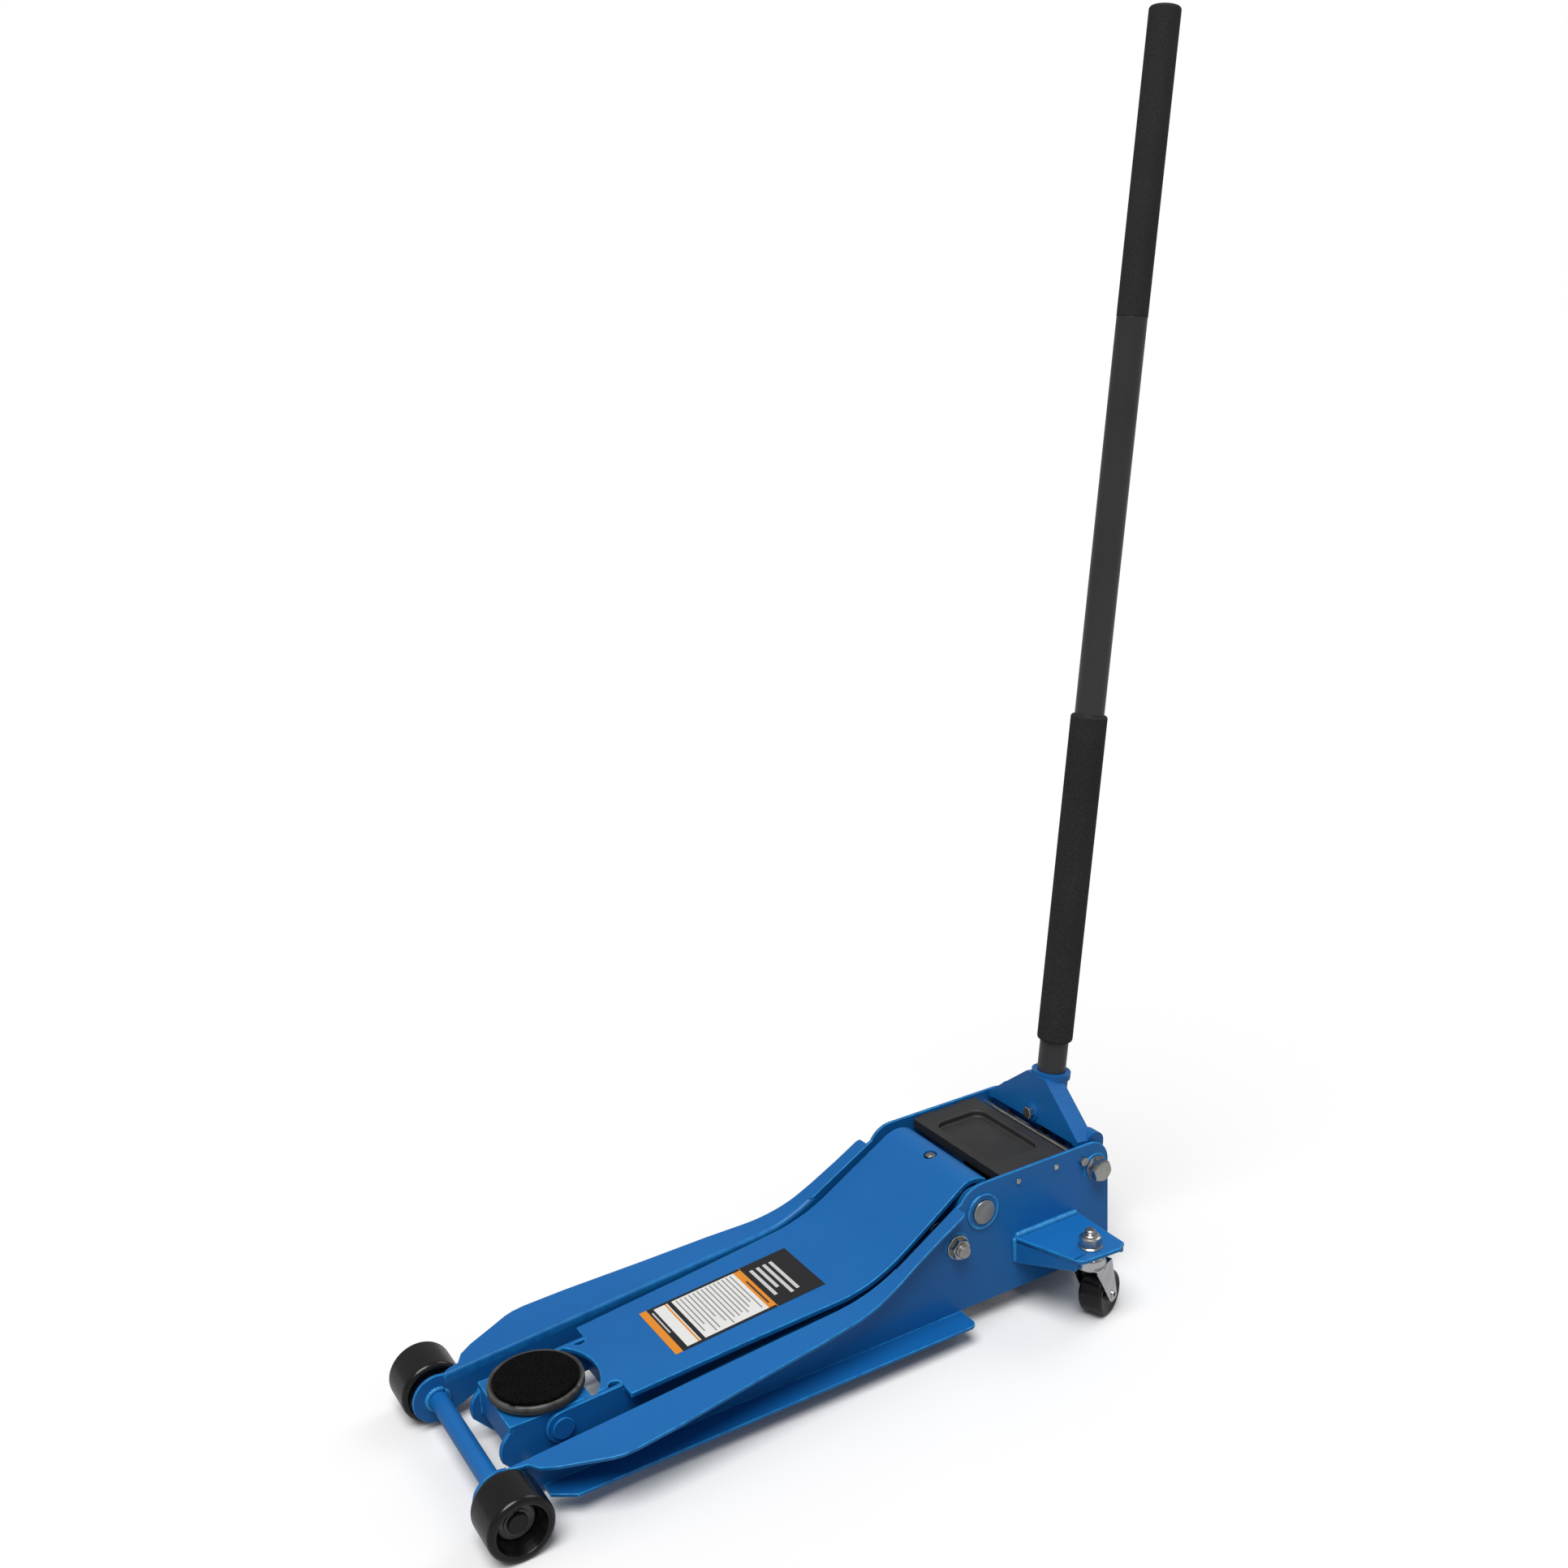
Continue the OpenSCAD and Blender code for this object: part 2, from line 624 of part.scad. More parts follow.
module saddle_bracket() {
    color(PAINT) placed() difference() {
        union() {
            translate([-bracket_half, saddle_y - 49, bracket_top - bracket_t]) cube([2 * bracket_half, 92, bracket_t]);
            both() slab(bracket_half - bracket_t, bracket_t) polygon(concat(
                [[saddle_y + 36, bracket_top - 1], [saddle_y - 40, bracket_top - 1]],
                arc(arm_pin - [41, 11], 26, 120, 200, 10),
                arc(link_pin, link_pin_r + 4.5, 215, 300, 8),
                [[saddle_y + 36, arm_pin[1] - 15]]
            ));
            translate([-bracket_half + 1, saddle_y - 49, bracket_top - 34]) cube([2 * bracket_half - 2, 5, 30]);
            translate([0, saddle_y, bracket_top - 20]) cylinder(r = post_r + 6, h = 18);
        }
        translate([0, saddle_y, 0]) cylinder(r = post_r + fit, h = saddle_top);
        rod(arm_pin, saddle_pin_r + fit, -bracket_half - 1, 2 * bracket_half + 2);
        rod(link_pin, link_pin_r + fit, -bracket_half - 1, 2 * bracket_half + 2);
    }
}
module saddle_pivot_pins() {
    color(ZINC) placed() both() {
        rod(arm_pin, saddle_pin_r, post_r + 8, cheek_out + 2 - post_r - 8);
        rod(arm_pin, saddle_pin_r + 3, cheek_out + pass, 3);
    }
}
module link_front_pin() {
    color(ZINC) placed() {
        rod(link_pin, link_pin_r, -link_out - 3, 2 * link_out + 6);
        both() ring(link_pin, link_pin_r + 3, link_pin_r - 1, link_out + pass, 3);
    }
}
module saddle() {
    color(GREY) placed() translate([0, saddle_y, saddle_low]) difference() {
        union() {
            cylinder(r = post_r, h = 4);
            translate([0, 0, -20]) cylinder(r = post_r, h = 21);
            rotate_extrude() polygon([
                [0, 0], [saddle_r - 4, 0], [saddle_r, 2.5], [saddle_r, ring_h - 1], [saddle_r - 1, ring_h],
                [pad_r + 1.5, ring_h], [pad_r + 0.2, ring_h - 3], [0, ring_h - 3]
            ]);
        }
        translate([0, 0, -21]) cylinder(r = 5 + fit, h = 18);
    }
}
module saddle_pad() {
    pad_h = 5.05;
    color(BLACK) placed() translate([0, saddle_y, saddle_top - pad_h]) rotate_extrude()
        polygon([[0, 0], [pad_r, 0], [pad_r, pad_h - 1.5], [pad_r - 1.5, pad_h], [0, pad_h]]);
}
module saddle_screw() {
    color(ZINC) placed() translate([0, saddle_y, saddle_low - 20]) {
        translate([0, 0, 0.5]) cylinder(r = 5, h = 15);
        translate([0, 0, -2.5]) cylinder(r = post_r + 4, h = 2);
        translate([0, 0, -7]) cylinder(r = 8.5, h = 4.5, $fn = 6);
        translate([0, 0, -4]) cylinder(r = 5, h = 5);
    }
}

// ---- Level links: each dips under the arm's bend ----

link_dip = [reach - 150, pivot_z - 73];
module link_bar() {
    half_h = 8;
    difference() {
        slab(link_x, link_t) {
            polygon(belt(link_pin, link_pin_r + 5, link_dip, half_h));
            polygon(belt(link_dip, half_h + 0.01, link_anchor, link_pin_r + 5));
        }
        rod(link_pin, link_pin_r + fit, link_x - 1, link_t + 2);
        rod(link_anchor, link_pin_r + fit, link_x - 1, link_t + 2);
    }
}
module left_link() { color(PAINT) placed() link_bar(); }
module right_link() { color(PAINT) placed() mirror([1, 0, 0]) link_bar(); }

module link_anchor_bolts() {
    color(ZINC) placed() both() {
        rod(link_anchor, link_pin_r, link_x - 3, plate_out + 17 - link_x + 3);
        rod(link_anchor, link_pin_r + 4, link_x - 6, 5.5);
        ring(link_anchor, link_pin_r + 4, link_pin_r - 1, link_out + pass, plate_in - link_out - 2 * pass);
    }
}
module link_anchor_nuts() {
    color(ZINC) placed() both() difference() {
        union() {
            rod(link_anchor, 14.5, plate_out + boss_t + 0.1, 2);
            hexagon(link_anchor, 22, plate_out + boss_t + 2, 8);
        }
        rod(link_anchor, link_pin_r + fit, plate_out, 20);
    }
}

// ---- Power unit ----

valve_lean = 40;
valve_dir = [cos(valve_lean), sin(valve_lean)];
valve_mouth = yoke_pivot - (yoke_pivot[0] - block_back) / cos(valve_lean) * valve_dir;
// Puts the children's z axis along the release valve's axis, from the yoke pivot back to the pump
module along_valve() {
    translate([0, yoke_pivot[0], yoke_pivot[1]]) rotate([valve_lean - 90, 0, 0]) mirror([0, 0, 1]) children();
}
valve_len = norm(yoke_pivot - valve_mouth);

module pump_block() {
    color(GREY) placed() difference() {
        union() {
            translate([-block_half, block_front, frame_clear + 6]) cube([2 * block_half, 48, block_top - frame_clear - 6]);
            along_valve() translate([0, 0, valve_len - 9]) cylinder(r = 9, h = 12);
        }
        translate([0, block_front - 1, ram_z]) rotate([-90, 0, 0]) cylinder(r = ram_r + fit, h = 47);
        translate([pump_x, block_front + 14, pump_z]) rotate([-90, 0, 0]) cylinder(r = plunger_r + fit, h = 36);
        along_valve() translate([0, 0, valve_len - 20]) cylinder(r = 5 + fit, h = 24);
        translate([-block_half + 12, block_front + 14, block_top - 8]) cylinder(r = 6 + fit, h = 10);
    }
}
module ram_cylinder() {
    color(GREY) placed() translate([0, ram_face + 9, ram_z]) rotate([-90, 0, 0]) difference() {
        union() {
            cylinder(r = cylinder_r, h = block_front - ram_face - 9.05);
            translate([0, 0, 2]) cylinder(r = cylinder_r + 3, h = 8, $fn = 8);
        }
        translate([0, 0, -1]) cylinder(r = ram_r + fit, h = block_front);
    }
}
module ram_rod() {
    color(ZINC) placed() translate([0, ram_face, ram_z]) rotate([-90, 0, 0]) {
        cylinder(r = ram_r, h = ram_len);
        cylinder(r = ram_r + 3, h = 6);
    }
}
plunger_back = yoke_pivot[0] + 10.1 - yoke_roller_r - 1.2;
module pump_plunger() {
    color(ZINC) placed() translate([pump_x, plunger_back, pump_z]) rotate([90, 0, 0]) {
        cylinder(r = plunger_r, h = plunger_back - block_back + 4);
        cylinder(r = 8, h = 3);
    }
}
module plunger_spring() {
    color(ZINC) placed() translate([pump_x, plunger_back - 3.2, pump_z]) rotate([90, 0, 0]) difference() {
        cylinder(r = 8, h = plunger_back - 3.4 - block_back);
        translate([0, 0, -1]) cylinder(r = plunger_r + 0.3, h = plunger_back);
    }
}
return_spring_back = block_back + 16;
module return_springs() {
    color(ZINC) placed() both()
        translate([spring_x, lever_tip[0] + lever_pin_r + 0.5, lever_tip[1]]) rotate([-90, 0, 0])
            cylinder(r = 5, h = return_spring_back - lever_tip[0] - lever_pin_r - 0.5);
}
module filler_plug() {
    color(BLACK) placed() translate([-block_half + 12, block_front + 14, block_top]) {
        translate([0, 0, -7]) cylinder(r = 6, h = 8);
        translate([0, 0, 0.1]) cylinder(r = 9, h = 5, $fn = 6);
    }
}
module release_valve() {
    color(ZINC) placed() along_valve() {
        sphere(r = 7.5);
        cylinder(r = 5, h = valve_len + 3.5);
    }
}

// ---- Handle yoke ----

// The yoke's own axes: x across, y is v, z is u
module on_yoke() { placed() translate([0, yoke_pivot[0], yoke_pivot[1]]) rotate([-handle_lean, 0, 0]) children(); }

rib_t = 9;
heel_t = 5; // plate across the back of the yoke, from lug to lug
heel_v = 10;
heel_low = -5;
module yoke_rib() {
    outer = [[neck_r - 4, 84], [lug_out, web_low + 5]];
    run = (outer[1] - outer[0]) / norm(outer[1] - outer[0]);
    inward = rib_t * [run[1], -run[0]];
    translate([0, 2, 0]) rotate([90, 0, 0]) linear_extrude(2 - web_front)
        polygon([outer[0], outer[1], [lug_out, web_low], outer[1] + inward - [2, 0], outer[0] + inward]);
}
module handle_yoke() {
    wing = [[neck_r - 4, 84], [lug_out, web_low + 5], [lug_out, web_low]];
    arms = [pump_x - yoke_arm_gap / 2 - yoke_arm_t, pump_x + yoke_arm_gap / 2];
    color(PAINT) on_yoke() difference() {
        union() {
            translate([0, 0, socket_low]) cylinder(r = neck_r, h = socket_top - socket_low - 4);
            translate([0, 0, socket_top - 8]) cylinder(r = collar_r, h = 8);
            translate([0, web_front + web_t, 0]) rotate([90, 0, 0]) linear_extrude(web_t)
                polygon(concat(wing, [for (i = [2:-1:0]) [-wing[i][0], wing[i][1]]]));
            both() yoke_rib();
            both() slab(lug_in, lug_t) polygon(belt([0, 0], 18, [4, 27], 13));
            translate([-neck_r, web_front + 2, web_low]) cube([neck_r + arms[1] + yoke_arm_t, 30, 10]);
            translate([-lug_in - 1, heel_v, heel_low]) cube([2 * lug_in + 2, heel_t, socket_low + 4 - heel_low]);
            for (x = arms) slab(x, yoke_arm_t) polygon(belt([2, web_low + 5], 9, yoke_roller_at, 11));
            translate([0, web_front - 2, lock_bolt_u]) rotate([-90, 0, 0]) cylinder(r = 11, h = 8);
        }
        translate([0, 0, socket_low - 3]) cylinder(r = tube_r + fit, h = socket_top);
        both() rod([0, 0], yoke_bolt_r + fit, lug_in - 1, lug_t + 2);
        translate([0, web_front - 3, lock_bolt_u]) rotate([-90, 0, 0]) cylinder(r = 5 + fit, h = 20);
        rod(yoke_roller_at, 4 + fit, arms[0] - 1, yoke_arm_gap + 2 * yoke_arm_t + 2);
    }
}
module yoke_pivot_bolts() {
    color(ZINC) placed() both() {
        rod(yoke_pivot, yoke_bolt_r, lug_in + 1, plate_out + 3 - lug_in);
        rod(yoke_pivot, 14.5, plate_out + boss_t + 0.1, 2);
        hexagon(yoke_pivot, 24, plate_out + boss_t + 2, 12);
    }
}
module handle_lock_bolt() {
    color(ZINC) on_yoke() translate([0, web_front - 2.1, lock_bolt_u]) rotate([-90, 0, 0]) {
        cylinder(r = 5, h = 2.1 - web_front - (tube_r - groove_depth + 0.3));
        translate([0, 0, -7]) cylinder(r = 7.5, h = 7, $fn = 6);
    }
}
module yoke_roller() {
    color(ZINC) on_yoke() {
        rod(yoke_roller_at, 4, pump_x - yoke_arm_gap / 2 - yoke_arm_t - 1, yoke_arm_gap + 2 * yoke_arm_t + 2);
        ring(yoke_roller_at, yoke_roller_r, 3.9, pump_x - yoke_arm_gap / 2 + pass, yoke_arm_gap - 2 * pass);
    }
}

// ---- Handle ----

spigot_len = 60;
step_r = tube_r - 1;
spigot_ring = 8;
module tube(r, wall, from, to) {
    translate([0, 0, from]) difference() {
        cylinder(r = r, h = to - from);
        translate([0, 0, -1]) cylinder(r = r - wall, h = to - from + 2);
    }
}
module handle_lower_tube() {
    color(GREY) on_yoke() {
        difference() {
            tube(tube_r, tube_wall, socket_low + 1, joint_u);
            translate([0, 0, lock_bolt_u]) rotate_extrude()
                translate([tube_r - groove_depth, -5.5]) square([3, 11]);
        }
        translate([0, 0, 9.5]) cylinder(r = 6, h = socket_low - 5);
        translate([0, 0, socket_low + 1]) cylinder(r = tube_r - 1, h = 4);
        tube(tube_r - tube_wall - fit, tube_wall, joint_u - 20, joint_u + spigot_len);
        tube(tube_r - 1, tube_wall, joint_u - 20, joint_u - 20 + spigot_ring);
    }
}
module handle_upper_tube() {
    color(GREY) on_yoke() difference() {
        union() {
            tube(tube_r, tube_wall, joint_u + 0.2, grip_low);
            tube(step_r, tube_wall - 1, grip_low - 1, handle_len - 4);
        }
        translate([0, tube_r, joint_u + 32]) rotate([90, 0, 0]) cylinder(r = 4 + fit, h = 10);
    }
}
module foam_sleeve() {
    color(BLACK) on_yoke() rotate_extrude() polygon([
        [tube_r + fit, foam_low], [foam_r - 2, foam_low], [foam_r, foam_low + 2], [foam_r, foam_top - 2],
        [foam_r - 2, foam_top], [tube_r + fit, foam_top]
    ]);
}
module hand_grip() {
    color(GREY) on_yoke() rotate_extrude() polygon(concat(
        [[step_r + fit, grip_low + 0.1], [tube_r + 0.2, grip_low + 0.1]],
        arc([tube_r + 0.2 - grip_round, handle_len - grip_round], grip_round, 0, 90, 6),
        [[0, handle_len], [0, handle_len - 3.8], [step_r + fit, handle_len - 3.8]]
    ));
}
module handle_button() {
    color(ZINC) on_yoke() translate([0, tube_r + 1.8, joint_u + 32]) rotate([90, 0, 0]) cylinder(r = 4, h = 4.2);
}

left_side_plate();
right_side_plate();
rear_cross_plate();
front_axle();
axle_washers();
axle_circlips();
left_front_roller();
right_front_roller();
left_caster_bracket();
right_caster_bracket();
caster_stems();
caster_nuts();
caster_races();
left_caster_fork();
right_caster_fork();
left_caster_rivet();
right_caster_rivet();
left_caster_wheel();
right_caster_wheel();
tool_tray();
tray_screws();
cross_rod();
cross_rod_bolts();
main_pivot_shaft();
arm_top_plate();
arm_left_cheek();
arm_right_cheek();
arm_pivot_tube();
lever_plates();
lever_pin();
lever_roller();
arm_lock_screw();
data_label();
saddle_bracket();
saddle_pivot_pins();
link_front_pin();
saddle();
saddle_pad();
saddle_screw();
left_link();
right_link();
link_anchor_bolts();
link_anchor_nuts();
pump_block();
ram_cylinder();
ram_rod();
pump_plunger();
plunger_spring();
return_springs();
filler_plug();
release_valve();
handle_yoke();
yoke_pivot_bolts();
handle_lock_bolt();
yoke_roller();
handle_lower_tube();
handle_upper_tube();
foam_sleeve();
hand_grip();
handle_button();
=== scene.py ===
"""Trolley jack: the finished look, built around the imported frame."""
import json
import math

import bmesh
import bpy
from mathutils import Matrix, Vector


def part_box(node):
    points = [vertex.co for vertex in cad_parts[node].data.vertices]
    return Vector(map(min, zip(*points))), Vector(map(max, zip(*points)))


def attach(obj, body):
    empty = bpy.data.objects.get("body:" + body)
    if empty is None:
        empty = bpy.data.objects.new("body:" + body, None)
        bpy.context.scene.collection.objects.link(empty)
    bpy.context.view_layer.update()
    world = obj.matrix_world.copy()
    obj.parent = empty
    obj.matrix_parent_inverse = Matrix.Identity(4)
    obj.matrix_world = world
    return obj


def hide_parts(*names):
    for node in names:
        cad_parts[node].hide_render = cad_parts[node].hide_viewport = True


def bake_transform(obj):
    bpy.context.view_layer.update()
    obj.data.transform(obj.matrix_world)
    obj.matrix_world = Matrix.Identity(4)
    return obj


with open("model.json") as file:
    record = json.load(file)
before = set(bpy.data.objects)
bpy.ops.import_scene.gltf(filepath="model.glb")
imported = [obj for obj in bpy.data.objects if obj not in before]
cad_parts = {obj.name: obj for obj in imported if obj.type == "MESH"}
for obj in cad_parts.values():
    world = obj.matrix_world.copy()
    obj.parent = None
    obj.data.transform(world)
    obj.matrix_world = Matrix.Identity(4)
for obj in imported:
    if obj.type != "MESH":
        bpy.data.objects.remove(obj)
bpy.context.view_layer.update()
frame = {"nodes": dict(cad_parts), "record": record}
NODES = frame["nodes"]
record = frame["record"]
BODY_OF = {node: body for body, nodes in record["behaviour"]["bodies"].items() for node in nodes}

MM = 0.001
UP, LEFT = Vector((0, 0, 1)), Vector((1, 0, 0))


def middle(node):
    low, high = (Vector(corner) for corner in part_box(node))
    return (low + high) / 2


AXLE = middle("front_axle")
PLATE_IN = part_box("left_side_plate")[0][0]


def at(x, y, z):
    """A point given in millimetres: x across, y behind the front axle, z above the floor."""
    return Vector((x * MM, AXLE.y + y * MM, z * MM))


# ---- Camera, floor and light ----

def set_camera():
    data = bpy.data.cameras.new("camera")
    data.lens, data.sensor_width = 37.528, 36.0
    data.shift_x, data.shift_y = -0.00232, -0.00158
    camera = bpy.data.objects.new("camera", data)
    camera.location = (1.443929, AXLE.y - 0.408832, 1.136434)
    camera.rotation_euler = [math.radians(a) for a in (74.37746, 2.949513, 59.127678)]
    bpy.context.scene.collection.objects.link(camera)
    bpy.context.scene.camera = camera


def sunlight(name, towards, strength, spread):
    """Soft parallel light, which lights the whole floor evenly."""
    data = bpy.data.lights.new(name, "SUN")
    data.energy, data.angle = strength, math.radians(spread)
    light = bpy.data.objects.new(name, data)
    light.rotation_euler = Vector(towards).to_track_quat("-Z", "Y").to_euler()
    bpy.context.scene.collection.objects.link(light)


def set_studio():
    scene = bpy.context.scene
    scene.view_settings.view_transform = "Standard"
    world = bpy.data.worlds.new("studio")
    world.use_nodes = True
    sky = world.node_tree.nodes["Background"]
    sky.inputs["Color"].default_value = (1, 1, 1, 1)
    seen = world.node_tree.nodes.new("ShaderNodeLightPath")
    level = world.node_tree.nodes.new("ShaderNodeMapRange")
    level.inputs["To Min"].default_value = 0.27
    level.inputs["To Max"].default_value = 1.0
    world.node_tree.links.new(seen.outputs["Is Camera Ray"], level.inputs["Value"])
    world.node_tree.links.new(level.outputs[0], sky.inputs["Strength"])
    scene.world = world
    bm = bmesh.new()
    bmesh.ops.create_grid(bm, x_segments=1, y_segments=1, size=60)
    mesh = bpy.data.meshes.new("floor")
    bm.to_mesh(mesh)
    bm.free()
    floor = bpy.data.objects.new("floor", mesh)
    scene.collection.objects.link(floor)
    paper = bpy.data.materials.new("floor_paper")
    paper.use_nodes = True
    shader = paper.node_tree.nodes["Principled BSDF"]
    glimpsed = paper.node_tree.nodes.new("ShaderNodeLightPath")
    shade = paper.node_tree.nodes.new("ShaderNodeMapRange")
    shade.inputs["To Min"].default_value = 0.42
    shade.inputs["To Max"].default_value = 0.97
    paper.node_tree.links.new(glimpsed.outputs["Is Camera Ray"], shade.inputs["Value"])
    paper.node_tree.links.new(shade.outputs[0], shader.inputs["Base Color"])
    shader.inputs["Roughness"].default_value = 1.0
    shader.inputs["Specular IOR Level"].default_value = 0.0
    mesh.materials.append(paper)
    sunlight("overhead_sun", (-0.30, 0.28, -1.0), 2.35, 38)
    sunlight("rear_sun", (0.15, -0.80, -0.75), 0.40, 30)


set_camera()
set_studio()


# ---- Finishes ----

def new_group(name, inputs, outputs):
    """A shader node group, with its input and output nodes."""
    group = bpy.data.node_groups.new(name, "ShaderNodeTree")
    for label, kind, value in inputs:
        socket = group.interface.new_socket(label, in_out="INPUT", socket_type=kind)
        if value is not None:
            socket.default_value = value
    for label, kind in outputs:
        group.interface.new_socket(label, in_out="OUTPUT", socket_type=kind)
    return group, group.nodes.new("NodeGroupInput"), group.nodes.new("NodeGroupOutput")


FLOAT, COLOUR, VECTOR = "NodeSocketFloat", "NodeSocketColor", "NodeSocketVector"
WHITE, BLACK, GRIME = (1, 1, 1, 1), (0, 0, 0, 1), (0.05, 0.045, 0.04, 1)


class Tree:
    """Short calls that add nodes to a material or group and join them."""

    def __init__(self, tree):
        self.tree = tree

    def add(self, kind, **settings):
        node = self.tree.nodes.new(kind)
        for key, value in settings.items():
            setattr(node, key, value)
        return node

    def join(self, source, target):
        self.tree.links.new(source, target)

    def feed(self, socket, value):
        if isinstance(value, bpy.types.NodeSocket):
            self.join(value, socket)
        else:
            socket.default_value = value

    def noise(self, where, scale, detail=2.0, rough=0.5):
        node = self.add("ShaderNodeTexNoise")
        self.feed(node.inputs["Vector"], where)
        self.feed(node.inputs["Scale"], scale)
        node.inputs["Detail"].default_value = detail
        node.inputs["Roughness"].default_value = rough
        return node.outputs["Fac"]

    def sums(self, operation, *values):
        node = self.add("ShaderNodeMath", operation=operation)
        for socket, value in zip(node.inputs, values):
            self.feed(socket, value)
        return node.outputs[0]

    def spread(self, value, low, high, to_low=0.0, to_high=1.0):
        node = self.add("ShaderNodeMapRange")
        for socket, given in zip(node.inputs, (value, low, high, to_low, to_high)):
            self.feed(socket, given)
        return node.outputs[0]

    def blend(self, share, first, second, mode="MIX"):
        node = self.add("ShaderNodeMix", data_type="RGBA", blend_type=mode)
        self.feed(node.inputs[0], share)
        self.feed(node.inputs[6], first)
        self.feed(node.inputs[7], second)
        return node.outputs[2]


def make_drift_group():
    """Slow drift between two shades, as in sprayed paint or moulded plastic."""
    group, given, made = new_group(
        "shade_drift",
        [("Vector", VECTOR, None), ("Light", COLOUR, WHITE), ("Dark", COLOUR, BLACK),
         ("Scale", FLOAT, 6.0)],
        [("Color", COLOUR)])
    t = Tree(group)
    cloud = t.noise(given.outputs["Vector"], given.outputs["Scale"], 3.0)
    share = t.spread(cloud, 0.35, 0.68)
    t.join(t.blend(share, given.outputs["Dark"], given.outputs["Light"]), made.inputs["Color"])
    return group


def make_edge_wear_and_highlight_group():
    """Rounded edges painted lighter, broken up by noise: a painted highlight along the edges, and on
    bare metal also edges rubbed bright.
    """
    group, given, made = new_group(
        "rubbed_edges_and_highlight",
        [("Vector", VECTOR, None), ("Body", COLOUR, WHITE), ("Edge", COLOUR, WHITE),
         ("Amount", FLOAT, 0.5)],
        [("Color", COLOUR), ("Mask", FLOAT)])
    t = Tree(group)
    band = t.add("ShaderNodeAttribute", attribute_name="round_edge").outputs["Fac"]
    broken = t.spread(t.noise(given.outputs["Vector"], 90.0, 4.0), 0.3, 0.6)
    mask = t.sums("MULTIPLY", t.sums("MULTIPLY", band, broken), given.outputs["Amount"])
    t.join(mask, made.inputs["Mask"])
    t.join(t.blend(mask, given.outputs["Body"], given.outputs["Edge"]), made.inputs["Color"])
    return group


def make_soil_group():
    """Faint grime: specks all over, and a little more of it close to the floor."""
    group, given, made = new_group(
        "shop_grime",
        [("Vector", VECTOR, None), ("Body", COLOUR, WHITE), ("Grime", COLOUR, GRIME),
         ("Amount", FLOAT, 0.3)],
        [("Color", COLOUR), ("Mask", FLOAT)])
    t = Tree(group)
    height = t.add("ShaderNodeSeparateXYZ")
    t.join(given.outputs["Vector"], height.inputs[0])
    low = t.spread(height.outputs["Z"], 0.0, 0.09, 1.0, 0.12)
    patch = t.spread(t.noise(given.outputs["Vector"], 38.0, 6.0, 0.62), 0.5, 0.78)
    mask = t.sums("MULTIPLY", t.sums("MULTIPLY", low, patch), given.outputs["Amount"])
    t.join(mask, made.inputs["Mask"])
    t.join(t.blend(mask, given.outputs["Body"], given.outputs["Grime"]), made.inputs["Color"])
    return group


def make_skin_group():
    """Surface height: a coarse wave such as orange peel, with a fine grain over it."""
    group, given, made = new_group(
        "surface_skin",
        [("Vector", VECTOR, None), ("Coarse", FLOAT, 120.0), ("Fine", FLOAT, 900.0),
         ("Fine share", FLOAT, 0.3)],
        [("Height", FLOAT), ("Grain", FLOAT)])
    t = Tree(group)
    wave = t.noise(given.outputs["Vector"], given.outputs["Coarse"], 1.0)
    grain = t.noise(given.outputs["Vector"], given.outputs["Fine"], 2.0)
    mix = t.sums("ADD", t.sums("MULTIPLY", grain, given.outputs["Fine share"]), wave)
    t.join(mix, made.inputs["Height"])
    t.join(grain, made.inputs["Grain"])
    return group


def make_pore_group():
    """Cells with pits between them, as on foam and moulded grip rubber; the pits are painted darker, a
    painted shade.
    """
    group, given, made = new_group(
        "open_cells",
        [("Vector", VECTOR, None), ("Scale", FLOAT, 700.0)],
        [("Height", FLOAT), ("Pit shade", FLOAT)])
    t = Tree(group)
    cells = t.add("ShaderNodeTexVoronoi", feature="F1")
    t.join(given.outputs["Vector"], cells.inputs["Vector"])
    t.join(given.outputs["Scale"], cells.inputs["Scale"])
    rise = t.spread(cells.outputs["Distance"], 0.1, 0.75)
    t.join(rise, made.inputs["Height"])
    t.join(t.spread(rise, 0.75, 1.0), made.inputs["Pit shade"])
    return group


GROUPS = {"drift": make_drift_group(), "edges": make_edge_wear_and_highlight_group(), "soil": make_soil_group(),
          "skin": make_skin_group(), "cells": make_pore_group()}


def rgba(colour):
    return (*colour, 1.0)


